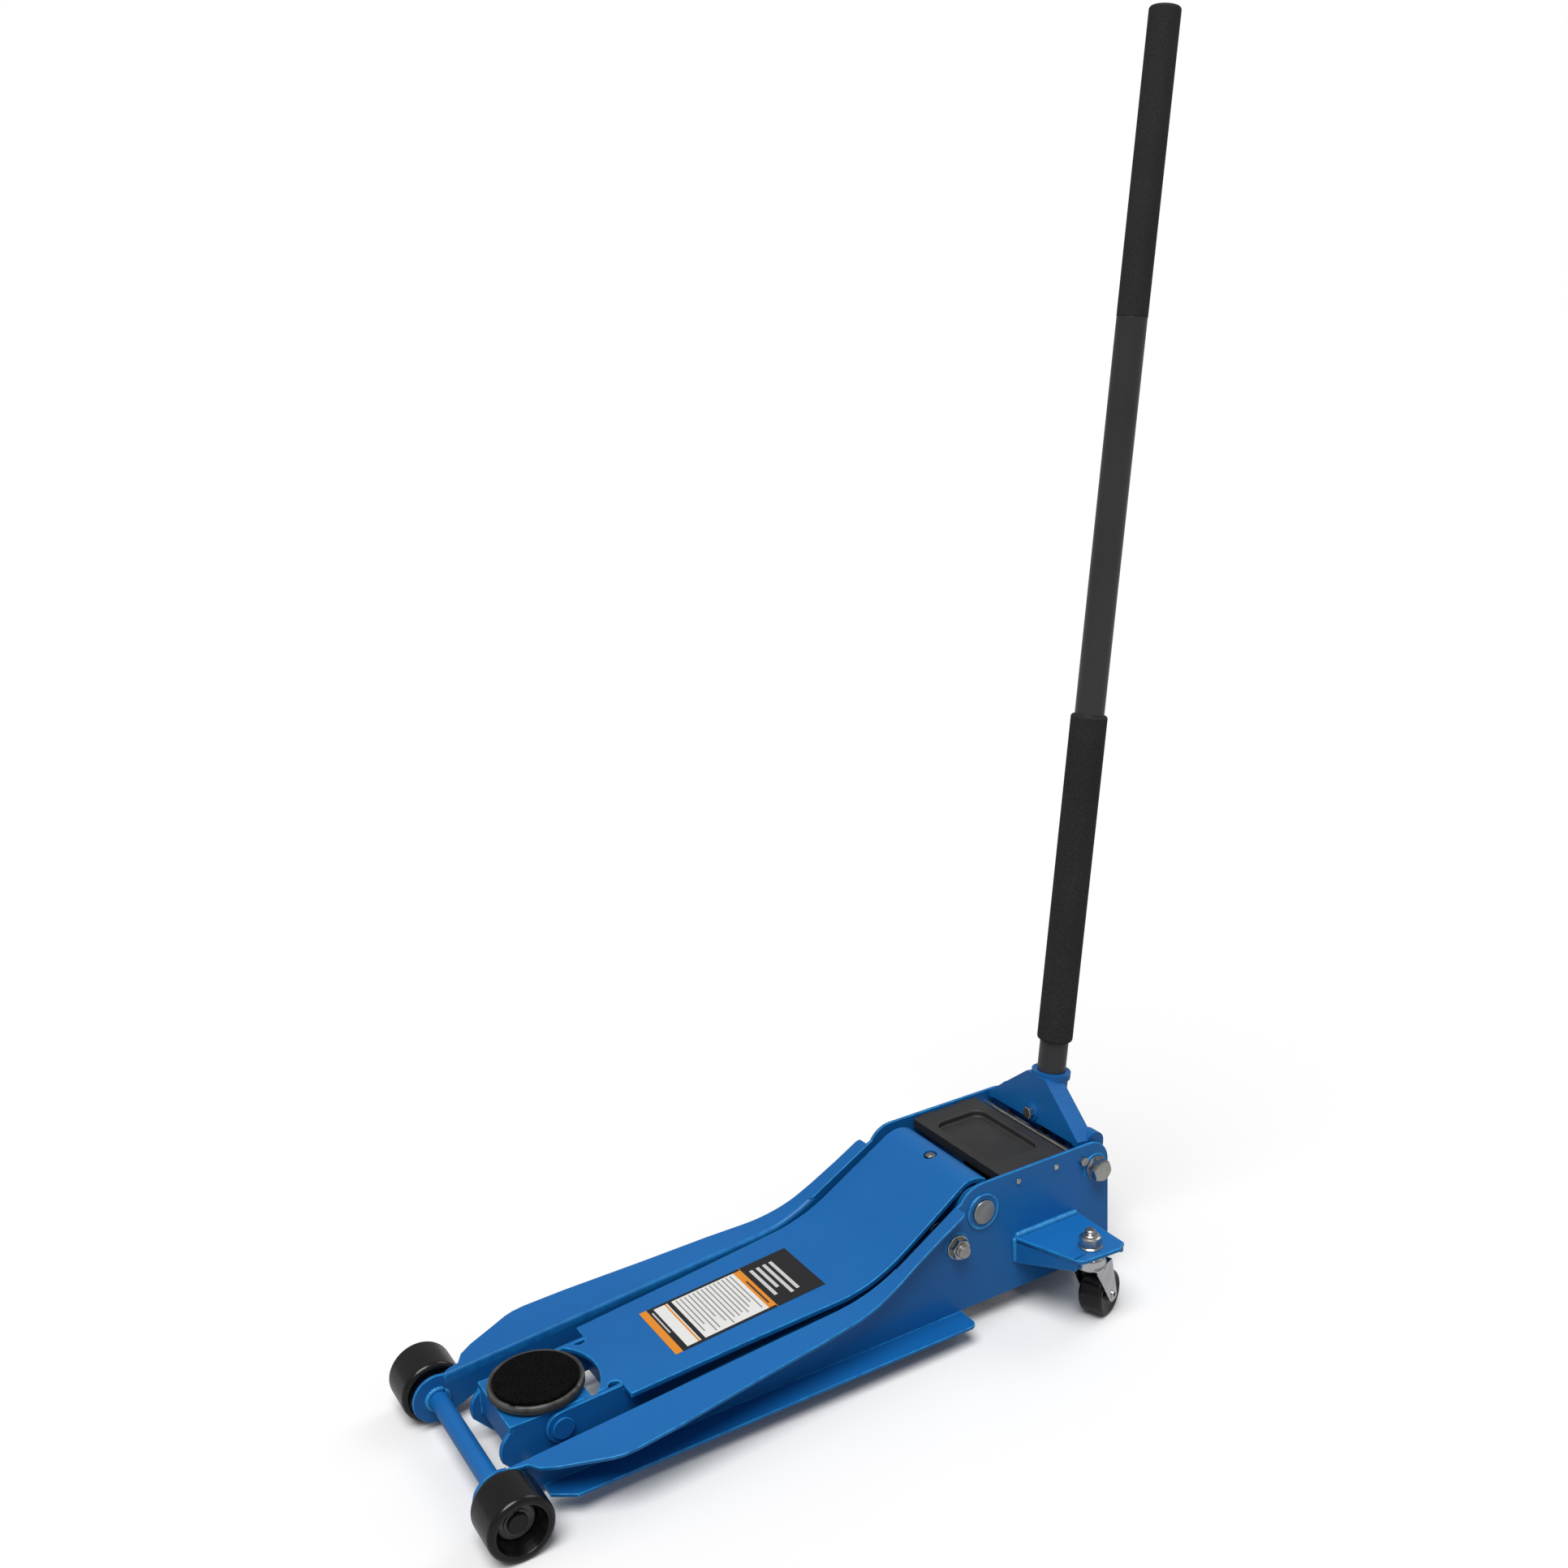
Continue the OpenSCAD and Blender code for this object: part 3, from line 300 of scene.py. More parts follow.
def finish(name, light, dark, rough, edge=None, edge_wear_and_highlight=0.0, drift=6.0, grime=0.2, coarse=120.0,
           fine=900.0, fine_share=0.3, bump=0.1, depth=0.0004, metallic=0.0, cells=0.0, **fixed):
    """One material: drifting shade, edges painted lighter (a painted highlight, and wear), grime and a
    bumpy skin.

    rough is the lowest and highest roughness. With cells, the skin is cells instead of a wave, and
    painted shade darkens the pits between them.
    """
    made = bpy.data.materials.new(name)
    made.use_nodes = True
    t = Tree(made.node_tree)
    shader = made.node_tree.nodes["Principled BSDF"]
    where = t.add("ShaderNodeTexCoord").outputs["Object"]

    def place(key, **values):
        node = t.add("ShaderNodeGroup", node_tree=GROUPS[key])
        t.join(where, node.inputs["Vector"])
        for label, value in values.items():
            t.feed(node.inputs[label.replace("_", " ")], value)
        return node.outputs

    colour = place("drift", Light=rgba(light), Dark=rgba(dark), Scale=drift)["Color"]
    if cells:
        pores = place("cells", Scale=cells)
        # Painted shade: the pits between the cells are darkened.
        colour = t.blend(pores["Pit shade"], colour, rgba([c * 0.35 for c in dark]))
        height = pores["Height"]
        grain = pores["Height"]
    else:
        skin = place("skin", Coarse=coarse, Fine=fine, Fine_share=fine_share)
        height, grain = skin["Height"], skin["Grain"]
    # The edge colour is painted on the rounded edges: a painted highlight, with wear on bare metal.
    if edge:
        colour = place("edges", Body=colour, Edge=rgba(edge), Amount=edge_wear_and_highlight)["Color"]
    soil = place("soil", Body=colour, Amount=grime)
    t.join(soil["Color"], shader.inputs["Base Color"])
    smooth = t.spread(grain, 0.3, 0.7, *rough)
    t.join(t.sums("ADD", smooth, t.sums("MULTIPLY", soil["Mask"], 0.35)), shader.inputs["Roughness"])
    shader.inputs["Metallic"].default_value = metallic
    for label, value in fixed.items():
        shader.inputs[label.replace("_", " ")].default_value = value
    relief = t.add("ShaderNodeBump")
    relief.inputs["Strength"].default_value = bump
    relief.inputs["Distance"].default_value = depth
    t.join(height, relief.inputs["Height"])
    t.join(relief.outputs[0], shader.inputs["Normal"])
    return made


# Each edge colour below is painted on the rounded edges as a painted highlight; on bare metal it also
# stands for wear.
BLUE = finish(
    "blue_enamel", (0.009, 0.150, 0.46), (0.006, 0.125, 0.40), (0.30, 0.42),
    edge=(0.02, 0.36, 0.76), edge_wear_and_highlight=0.75, drift=4.0, grime=0.16, coarse=240, fine=1500, fine_share=0.2,
    bump=0.12, depth=0.0003, Coat_Weight=0.10, Coat_Roughness=0.16, Specular_IOR_Level=0.30)
CAST_BLUE = finish(
    "blue_enamel_on_casting", (0.006, 0.150, 0.46), (0.004, 0.115, 0.38), (0.32, 0.46),
    edge=(0.02, 0.36, 0.76), edge_wear_and_highlight=0.85, drift=9.0, grime=0.2, coarse=330, fine=1100, fine_share=0.5,
    bump=0.42, depth=0.0006, Coat_Weight=0.10, Coat_Roughness=0.18, Specular_IOR_Level=0.32)
# Painted highlight: the weld enamel is lighter and more cyan, standing for the highlight along the
# beads.
HIGHLIT_BEAD_BLUE = finish(
    "blue_enamel_on_weld_with_painted_highlight", (0.010, 0.230, 0.56), (0.007, 0.150, 0.46), (0.26, 0.40),
    edge=(0.03, 0.42, 0.80), edge_wear_and_highlight=0.85, drift=60.0, grime=0.2, coarse=700, fine=1900, fine_share=0.5,
    bump=0.5, depth=0.0005, Coat_Weight=0.2, Coat_Roughness=0.16)
ZINC = finish(
    "bright_zinc", (0.66, 0.64, 0.60), (0.46, 0.45, 0.43), (0.18, 0.36),
    edge=(0.90, 0.89, 0.86), edge_wear_and_highlight=0.8, drift=60, grime=0.5, coarse=700, fine=2600, fine_share=0.5,
    bump=0.15, depth=0.0002, metallic=1.0)
STEEL = finish(
    "turned_steel", (0.46, 0.45, 0.43), (0.33, 0.33, 0.32), (0.26, 0.42),
    edge=(0.75, 0.74, 0.72), edge_wear_and_highlight=0.7, drift=50, grime=0.4, coarse=500, fine=2400, fine_share=0.6,
    bump=0.2, depth=0.0002, metallic=1.0)
DARK_STEEL = finish(
    "phosphated_steel", (0.17, 0.17, 0.172), (0.10, 0.10, 0.103), (0.34, 0.52),
    edge=(0.3, 0.3, 0.3), edge_wear_and_highlight=0.6, drift=60, grime=0.3, coarse=600, fine=2400,
    bump=0.2, depth=0.0002, metallic=0.75)
CHROME = finish(
    "caster_chrome", (0.86, 0.86, 0.88), (0.74, 0.74, 0.76), (0.05, 0.13),
    edge=(0.95, 0.95, 0.95), edge_wear_and_highlight=0.4, drift=70, grime=0.25, coarse=160, fine=1800, fine_share=0.1,
    bump=0.1, depth=0.0003, metallic=1.0)
NYLON = finish(
    "black_nylon", (0.0065, 0.0065, 0.007), (0.004, 0.004, 0.0042), (0.16, 0.30),
    edge=(0.016, 0.016, 0.016), edge_wear_and_highlight=0.5, drift=30, grime=0.25, coarse=130, fine=1400, fine_share=0.3,
    bump=0.14, depth=0.0004, Coat_Weight=0.2, Coat_Roughness=0.12, Specular_IOR_Level=0.4)
TRAY = finish(
    "charcoal_powder", (0.034, 0.034, 0.035), (0.026, 0.026, 0.027), (0.42, 0.56),
    edge=(0.07, 0.07, 0.07), edge_wear_and_highlight=0.6, drift=20, grime=0.15, coarse=900, fine=2600, fine_share=0.6,
    bump=0.22, depth=0.0003, Specular_IOR_Level=0.4)
CASTING = finish(
    "black_casting", (0.022, 0.023, 0.026), (0.013, 0.013, 0.015), (0.45, 0.65),
    edge=(0.07, 0.07, 0.07), edge_wear_and_highlight=0.5, drift=30, grime=0.5, coarse=420, fine=1500, fine_share=0.6,
    bump=0.6, depth=0.0006)
SADDLE = finish(
    "blackened_iron", (0.060, 0.058, 0.053), (0.040, 0.039, 0.036), (0.42, 0.60),
    edge=(0.12, 0.117, 0.11), edge_wear_and_highlight=0.9, drift=45, grime=0.3, coarse=520, fine=1700, fine_share=0.6,
    bump=0.4, depth=0.0004, metallic=0.2)
PAD = finish(
    "grained_rubber", (0.0030, 0.0030, 0.0030), (0.0015, 0.0015, 0.0015), (0.45, 0.9),
    drift=60, grime=0.1, cells=560.0, bump=1.0, depth=0.0010, Specular_IOR_Level=0.09)
TUBE = finish(
    "satin_powder", (0.044, 0.044, 0.045), (0.036, 0.036, 0.037), (0.24, 0.34),
    edge=(0.09, 0.09, 0.09), edge_wear_and_highlight=0.6, drift=9, grime=0.15, coarse=600, fine=2300, fine_share=0.5,
    bump=0.12, depth=0.0002, Coat_Weight=0.12, Coat_Roughness=0.3, Specular_IOR_Level=0.4)
FOAM = finish(
    "closed_cell_foam", (0.033, 0.033, 0.034), (0.026, 0.026, 0.027), (0.78, 0.92),
    drift=14, grime=0.12, cells=950.0, bump=0.35, depth=0.0005, Specular_IOR_Level=0.3)
GRIP = finish(
    "grip_sleeve", (0.036, 0.036, 0.037), (0.030, 0.030, 0.031), (0.68, 0.86),
    drift=14, grime=0.12, cells=1500.0, bump=0.4, depth=0.0004, Specular_IOR_Level=0.3)
PLUG = finish(
    "plug_plastic", (0.02, 0.02, 0.02), (0.012, 0.012, 0.012), (0.35, 0.5),
    drift=60, grime=0.3, bump=0.15)


def make_label():
    """Printed vinyl: plain bands and plain rules, with no lettering."""
    made = bpy.data.materials.new("printed_vinyl")
    made.use_nodes = True
    t = Tree(made.node_tree)
    shader = made.node_tree.nodes["Principled BSDF"]
    where = t.add("ShaderNodeTexCoord").outputs["Object"]
    low, high = (Vector(c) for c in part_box("data_label"))
    slope = math.atan2(24, 300)  # the plate's rise over its run under the label
    along_axis = Vector((0, math.cos(slope), math.sin(slope)))
    length = 191 * MM
    near = Vector((0, low.y, low.z)).dot(along_axis)
    dot = t.add("ShaderNodeVectorMath", operation="DOT_PRODUCT")
    t.join(where, dot.inputs[0])
    dot.inputs[1].default_value = along_axis
    along = t.spread(dot.outputs["Value"], near, near + length)
    split = t.add("ShaderNodeSeparateXYZ")
    t.join(where, split.inputs[0])
    across = t.spread(split.outputs["X"], low.x, high.x)
    white, black, amber = (0.80, 0.80, 0.78), (0.012, 0.012, 0.014), (0.78, 0.27, 0.02)
    ramp = t.add("ShaderNodeValToRGB")
    bands = [
        (0.0, amber), (0.045, black), (0.085, white), (0.155, amber), (0.165, white), (0.172, black),
        (0.20, white), (0.625, amber), (0.672, black)]
    ramp.color_ramp.interpolation = "CONSTANT"
    while len(ramp.color_ramp.elements) < len(bands):
        ramp.color_ramp.elements.new(0.5)
    for element, (place, colour) in zip(ramp.color_ramp.elements, bands):
        element.position, element.color = place, rgba(colour)
    t.join(along, ramp.inputs[0])
    colour = ramp.outputs["Color"]

    def window(value, start, end):
        return t.sums("MULTIPLY", t.sums("GREATER_THAN", value, start), t.sums("LESS_THAN", value, end))

    def rules(start, end, count, thick, left, longest, ink, colour):
        """Prints count plain rules of uneven lengths between start and end."""
        step = t.spread(along, start, end, 0.0, float(count))
        row = t.sums("FLOOR", step)
        chance = t.add("ShaderNodeTexWhiteNoise", noise_dimensions="1D")
        t.join(row, chance.inputs["W"])
        reach = t.spread(chance.outputs["Value"], 0.0, 1.0, longest - 0.28, longest)
        inside = window(across, left, reach)
        line = window(t.sums("FRACT", step), 0.5 - thick / 2, 0.5 + thick / 2)
        mask = t.sums("MULTIPLY", t.sums("MULTIPLY", inside, line), window(along, start, end))
        return t.blend(mask, colour, rgba(ink))

    colour = rules(0.215, 0.61, 14, 0.30, 0.07, 0.95, (0.25, 0.25, 0.25), colour)
    colour = rules(0.70, 0.88, 4, 0.5, 0.14, 0.90, (0.62, 0.62, 0.62), colour)
    colour = rules(0.05, 0.08, 1, 0.35, 0.10, 0.70, (0.55, 0.55, 0.55), colour)
    colour = rules(0.635, 0.662, 1, 0.45, 0.30, 0.98, (0.05, 0.03, 0.02), colour)
    margin = t.sums("SUBTRACT", 1.0, window(across, 0.045, 0.955))
    colour = t.blend(t.sums("MULTIPLY", window(along, 0.085, 0.672), margin), colour, rgba(black))
    soil = t.add("ShaderNodeGroup", node_tree=GROUPS["soil"])
    t.join(where, soil.inputs["Vector"])
    t.join(colour, soil.inputs["Body"])
    soil.inputs["Amount"].default_value = 0.25
    t.join(soil.outputs["Color"], shader.inputs["Base Color"])
    t.join(t.spread(t.noise(where, 600.0), 0.3, 0.7, 0.32, 0.5), shader.inputs["Roughness"])
    relief = t.add("ShaderNodeBump")
    relief.inputs["Strength"].default_value = 0.1
    relief.inputs["Distance"].default_value = 0.0002
    t.join(t.noise(where, 300.0), relief.inputs["Height"])
    t.join(relief.outputs[0], shader.inputs["Normal"])
    return made


LABEL = make_label()


# ---- Making pieces ----

def hand_over(bm, name, body, material, stands_for=(), sharp=38, weighted=True):
    """Turns a finished bmesh into a piece that rides on its body."""
    mesh = bpy.data.meshes.new(name)
    for face in bm.faces:
        face.smooth = True
    bm.to_mesh(mesh)
    bm.free()
    mesh.materials.append(material)
    mesh.set_sharp_from_angle(angle=math.radians(sharp))
    piece = bpy.data.objects.new(name, mesh)
    bpy.context.scene.collection.objects.link(piece)
    if weighted:
        even = piece.modifiers.new("even_shading", "WEIGHTED_NORMAL")
        even.keep_sharp = True
    if body:
        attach(piece, body)
    if stands_for:
        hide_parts(*stands_for)
    return piece


def round_off(bm, width, angle=30, segments=2, pick=None, clamp=False, shine=1.0):
    """Rounds the sharp edges, and marks the new faces so that a finish can find them and paint them
    lighter, a painted highlight; shine sets how much.
    """
    band = bm.faces.layers.float.get("round_edge") or bm.faces.layers.float.new("round_edge")
    limit = math.radians(angle)
    edges = [e for e in bm.edges
             if e.is_manifold and e.calc_face_angle() > limit and (pick is None or pick(e))]
    if not edges:
        return
    made = bmesh.ops.bevel(
        bm, geom=edges, offset=width, offset_type="OFFSET", segments=segments, profile=0.5,
        affect="EDGES", clamp_overlap=clamp, material=-1, loop_slide=True)
    for face in made["faces"]:
        face[band] = shine


def copy_of(node):
    """A merged copy of a CAD node's mesh, with its flat faces made whole."""
    bm = bmesh.new()
    bm.from_mesh(NODES[node].data)
    bmesh.ops.remove_doubles(bm, verts=bm.verts, dist=2e-6)
    bmesh.ops.dissolve_limit(bm, angle_limit=math.radians(0.4), verts=bm.verts, edges=bm.edges,
                             use_dissolve_boundaries=False, delimit=set())
    return bm


def soften(node, material, width=0.6, segments=2, clamp=False, first=None, angle=30, pick=None):
    """The CAD node with rounded edges."""
    bm = copy_of(node)
    if first:
        first(bm)
    round_off(bm, width * MM, segments=segments, clamp=clamp, angle=angle, pick=pick)
    return hand_over(bm, "finished_" + node, BODY_OF[node], material, [node])


def turned(bm, profile, origin, axis, steps=96):
    """Spins a profile of (radius, distance along the axis) in millimetres about the axis."""
    axis = Vector(axis).normalized()
    side = axis.orthogonal().normalized()
    verts = [bm.verts.new(Vector(origin) + side * r * MM + axis * h * MM) for r, h in profile]
    edges = [bm.edges.new(pair) for pair in zip(verts, verts[1:])]
    bmesh.ops.spin(
        bm, geom=verts + edges, cent=origin, axis=axis, angle=math.tau, steps=steps, use_merge=True,
        use_duplicate=False)
    bmesh.ops.remove_doubles(bm, verts=bm.verts, dist=1e-6)
    bmesh.ops.recalc_face_normals(bm, faces=bm.faces)


def swept(bm, path, radius_at, sides=10):
    """A closed bar along a path; radius_at gives its radius at each share of the way."""
    count = len(path)
    ring = bmesh.ops.create_circle(bm, cap_ends=True, segments=sides, radius=1.0)["verts"]
    side = None
    for i in range(count):
        ahead = (path[min(i + 1, count - 1)] - path[max(i - 1, 0)]).normalized()
        side = side - ahead * side.dot(ahead) if side else ahead.orthogonal()
        side.normalize()
        across = ahead.cross(side)
        if i:
            edges = [e for e in bm.edges if e.verts[0] in ring and e.verts[1] in ring]
            grown = bmesh.ops.extrude_edge_only(bm, edges=edges)["geom"]
            ring = order_ring([v for v in grown if isinstance(v, bmesh.types.BMVert)])
        r = radius_at(i / (count - 1))
        for k, v in enumerate(ring):
            turn = math.tau * k / sides
            v.co = path[i] + (side * math.cos(turn) + across * math.sin(turn)) * r
        if i == 0:
            ring = order_ring(ring)
    bmesh.ops.contextual_create(bm, geom=[e for e in bm.edges if e.is_boundary])
    bmesh.ops.recalc_face_normals(bm, faces=bm.faces)


def order_ring(verts):
    """The ring's corners in order round it."""
    left = set(verts)
    found = [verts[0]]
    left.discard(verts[0])
    while left:
        last = found[-1]
        step = next((e.other_vert(last) for e in last.link_edges if e.other_vert(last) in left), None)
        if step is None:
            break
        found.append(step)
        left.discard(step)
    return found


# ---- Sheet metal and the rest of the frame ----
# Places in millimetres. Pairs are (behind the front axle, above the floor).

TOUCH = 5e-5  # metres within which a corner counts as lying on a plane
FLANGE_FRONT, FLANGE_BACK, FLANGE_LOW = 9, 564, 61
PAN_DEPTH, PAN_HALF = 8, 61
COLLAR_R, COLLAR_UP = 24, 79.8
HANDLE_LEAN = math.radians(8.06)
SCREW_HOLE = 9
PLATE_FACE = 94.4  # outer face of the side plates, from the middle
YOKE_PIVOT, LINK_PIVOT, CROSS_ROD = (768, 147), (562, 113), (748.8, 161.2)
AXLE_Z = 35.4
MAIN_PIVOT = (600, 145)


def fold_edges(bm):
    """The inner corner of each side plate's top flange is a bend, so it gets a large radius."""
    front, back, low = at(0, FLANGE_FRONT, 0).y, at(0, FLANGE_BACK, 0).y, FLANGE_LOW * MM

    def on_bend(edge):
        return all(
            abs(abs(v.co.x) - PLATE_IN) < TOUCH and front < v.co.y < back and v.co.z > low
            for v in edge.verts)
    # The bend's rounded faces get a faint painted highlight (shine 0.3).
    round_off(bm, 5.0 * MM, segments=6, pick=on_bend, shine=0.3)


def pan_edges(bm):
    """The pressed pan of the tray has soft edges round its rim and its floor."""
    rim_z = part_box("tool_tray")[1][2]
    floor_z = rim_z - PAN_DEPTH * MM

    def on_pan(edge):
        return all(
            abs(v.co.x) < PAN_HALF * MM and min(abs(v.co.z - rim_z), abs(v.co.z - floor_z)) < TOUCH
            for v in edge.verts)
    # The pan's rounded edges get a faint painted highlight (shine 0.25).
    round_off(bm, 2.4 * MM, segments=4, pick=on_pan, shine=0.25)


def collar_rim(bm):
    """The yoke's collar has a rolled rim."""
    pivot = at(0, *YOKE_PIVOT)
    along = Vector((0, math.sin(HANDLE_LEAN), math.cos(HANDLE_LEAN)))
    back = Vector((0, math.cos(HANDLE_LEAN), -math.sin(HANDLE_LEAN)))

    def on_rim(edge):
        for v in edge.verts:
            off = v.co - pivot
            round_r = math.hypot(off.x, off.dot(back))
            if abs(round_r - COLLAR_R * MM) > 0.2 * MM or off.dot(along) < COLLAR_UP * MM:
                return False
        return True
    # The rolled rim gets a painted highlight (shine 0.6).
    round_off(bm, 2.6 * MM, segments=5, pick=on_rim, clamp=True, shine=0.6)


def clear_of_screw(edge):
    """Leaves the rim of the hole over the lock screw sharp."""
    screw = middle("arm_lock_screw")
    return all((v.co - screw).to_2d().length > SCREW_HOLE * MM for v in edge.verts)


for side in ("left", "right"):
    soften(f"{side}_side_plate", BLUE, 0.9, first=fold_edges)
    soften(f"{side}_caster_bracket", BLUE, 1.2)
    soften(f"{side}_link", BLUE, 0.8)
    soften(f"arm_{side}_cheek", BLUE, 0.9)
soften("rear_cross_plate", BLUE, 0.9)
soften("front_axle", BLUE, 0.8)
soften("arm_top_plate", BLUE, 1.1, pick=clear_of_screw)
soften("arm_pivot_tube", BLUE, 0.8)
soften("lever_plates", BLUE, 0.9)
soften("saddle_bracket", BLUE, 1.2)
soften("handle_yoke", CAST_BLUE, 0.8, clamp=True, first=collar_rim)
soften("tool_tray", TRAY, 0.8, first=pan_edges)
for node, material, width in (
    ("axle_washers", DARK_STEEL, 0.4), ("axle_circlips", DARK_STEEL, 0.2),
    ("caster_races", CHROME, 0.5), ("tray_screws", ZINC, 0.25), ("cross_rod", ZINC, 0.5),
    ("main_pivot_shaft", STEEL, 0.8), ("lever_pin", STEEL, 0.6), ("lever_roller", STEEL, 0.6),
    ("arm_lock_screw", STEEL, 0.3), ("saddle_pivot_pins", BLUE, 0.6), ("link_front_pin", STEEL, 0.6),
    ("saddle_screw", ZINC, 0.5), ("pump_block", CASTING, 2.0), ("ram_cylinder", CASTING, 1.0),
    ("ram_rod", CHROME, 0.6), ("pump_plunger", CHROME, 0.5), ("filler_plug", PLUG, 0.5),
    ("release_valve", STEEL, 0.3), ("yoke_roller", STEEL, 0.4), ("handle_button", ZINC, 0.6),
    ("left_caster_rivet", CHROME, 0.4), ("right_caster_rivet", CHROME, 0.4),
    ("left_caster_fork", CHROME, 0.7), ("right_caster_fork", CHROME, 0.7),
    ("handle_lock_bolt", ZINC, 0.6), ("data_label", LABEL, 0.1),
    ("left_front_roller", NYLON, 0.5), ("right_front_roller", NYLON, 0.5),
    ("left_caster_wheel", NYLON, 0.4), ("right_caster_wheel", NYLON, 0.4), ("saddle_pad", PAD, 0.8),
    ("handle_lower_tube", TUBE, 0.5), ("handle_upper_tube", TUBE, 0.5), ("hand_grip", GRIP, 0.8),
):
    soften(node, material, width)
soften("foam_sleeve", FOAM, 1.2, segments=3)


# ---- Hexagon fasteners ----

def outwards(axis):
    """Gives a function that turns an angle round the axis into the direction out from it."""
    side = axis.orthogonal().normalized()
    across = axis.cross(side)
    return lambda turn: side * math.cos(turn) + across * math.sin(turn)


def rings_up(bm, centre, axis, levels, segments=72):
    """Stacks rings along an axis; each level turns an angle round the axis into (radius, height)."""
    out = outwards(axis)
    ring = bmesh.ops.create_circle(bm, segments=segments, radius=1.0)["verts"]
    turns = {v: math.atan2(v.co.y, v.co.x) for v in ring}
    for count, level in enumerate(levels):
        if count:
            edges = [e for e in bm.edges if e.verts[0] in turns and e.verts[1] in turns]
            grown = bmesh.ops.extrude_edge_only(bm, edges=edges)["geom"]
            turns = {v: next(turns[e.other_vert(v)] for e in v.link_edges if e.other_vert(v) in turns)
                     for v in grown if isinstance(v, bmesh.types.BMVert)}
        for v, turn in turns.items():
            radius, height = level(turn)
            v.co = centre + (out(turn) * radius + axis * height) * MM
    bmesh.ops.remove_doubles(bm, verts=bm.verts, dist=1e-6)
    bmesh.ops.recalc_face_normals(bm, faces=bm.faces)


def hexagon(flats, seat, face, bore=0.0, dome=0.0):
    """Levels of a head or nut whose corners are turned down at the face, for rings_up."""
    inner = flats / 2

    def corner(turn):
        return inner / math.cos((turn % (math.pi / 3)) - math.pi / 6)

    round_r = inner * 0.955
    levels = [
        lambda turn: (bore, seat), lambda turn: (inner * 0.97, seat),
        lambda turn: (corner(turn), seat + (corner(turn) - inner * 0.97) * 0.5),
        lambda turn: (corner(turn), face - (corner(turn) - round_r) * 0.58),
        lambda turn: (round_r, face)]
    if dome:
        levels += [
            lambda turn: (inner * 0.86, face + dome * 0.15),
            lambda turn: (inner * 0.80, face + dome * 0.7),
            lambda turn: (inner * 0.70, face + dome)]
    levels.append(lambda turn: (bore, face + dome))
    if bore:
        levels.append(lambda turn: (bore, seat))
    return levels


def thread(radius, low, high, pitch):
    """Profile of a threaded end, as (radius, height) points from its side to its rounded tip."""
    points = []
    height = low
    while height + pitch < high - 1.0:
        points += [(radius, height), (radius - 0.55 * pitch, height + pitch / 2)]
        height += pitch
    return points + [(radius, height), (radius, high - 1.0), (radius - 1.0, high), (0, high)]


def fasteners(node, place, material, make):
    """One piece for a CAD node of fasteners that repeats on both sides of the frame."""
    bm = bmesh.new()
    for sign in (1, -1):
        make(bm, at(0, *place), LEFT * sign)
    hand_over(bm, "finished_" + node, BODY_OF[node], material, [node], sharp=24)


WASHER = [(14.0, 96.0), (14.5, 96.4), (14.5, 97.5), (14.0, 98.0)]


def yoke_bolt(bm, centre, out):
    turned(bm, [(0, 71.0), (8, 71.0), (8, 96), *WASHER, (0, 98.0)], centre, out, 72)
    rings_up(bm, centre, out, hexagon(24, 98, 109.9))


def link_bolt(bm, centre, out):
    turned(bm, [
        (0, 53), (11.5, 53), (12, 53.5), (12, 58), (11.5, 58.5), (8, 58.5), (8, 67), (12, 67),
        (12, 89), (8, 89), *thread(8, 105.5, 111.4, 1.75),
    ], centre, out, 72)


def link_nut(bm, centre, out):
    turned(bm, [(8.1, 96.0), *WASHER, (8.1, 98.0), (8.1, 96.0)], centre, out, 72)
    rings_up(bm, centre, out, hexagon(22, 98.0, 105.8, bore=8.1))


def rod_bolt(bm, centre, out):
    turned(bm, [(0, 90.7), (3, 90.7), (3, 94.6), (0, 94.6)], centre, out, 48)
    rings_up(bm, centre, out, hexagon(10, PLATE_FACE + 0.1, PLATE_FACE + 5.1))


fasteners("yoke_pivot_bolts", YOKE_PIVOT, ZINC, yoke_bolt)
fasteners("link_anchor_bolts", LINK_PIVOT, ZINC, link_bolt)
fasteners("link_anchor_nuts", LINK_PIVOT, ZINC, link_nut)
fasteners("cross_rod_bolts", CROSS_ROD, ZINC, rod_bolt)

CASTER_X, CASTER_Y, BRACKET_TOP = 161.0, 703.0, 96.0
stem_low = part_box("caster_stems")[0][2] / MM
nuts, stems = bmesh.new(), bmesh.new()
for sign in (1, -1):
    foot = at(sign * CASTER_X, CASTER_Y, 0)
    turned(nuts, [
        (6.1, BRACKET_TOP + 0.1), (14, BRACKET_TOP + 0.1), (14, BRACKET_TOP + 1.8),
        (12.6, BRACKET_TOP + 3), (6.1, BRACKET_TOP + 3), (6.1, BRACKET_TOP + 0.1),
    ], foot, UP, 72)
    rings_up(nuts, foot, UP, hexagon(22.8, BRACKET_TOP + 3, BRACKET_TOP + 13.4, bore=6.1, dome=3.6))
    turned(stems, [
        (0, stem_low), (10, stem_low), (10, stem_low + 4), (6, stem_low + 4),
        *thread(6, BRACKET_TOP + 15, BRACKET_TOP + 22, 1.5),
    ], foot, UP, 64)
hand_over(nuts, "finished_caster_nuts", "frame", ZINC, ["caster_nuts"], sharp=24)
hand_over(stems, "finished_caster_stems", "frame", ZINC, ["caster_stems"], sharp=24)


# ---- Saddle ----

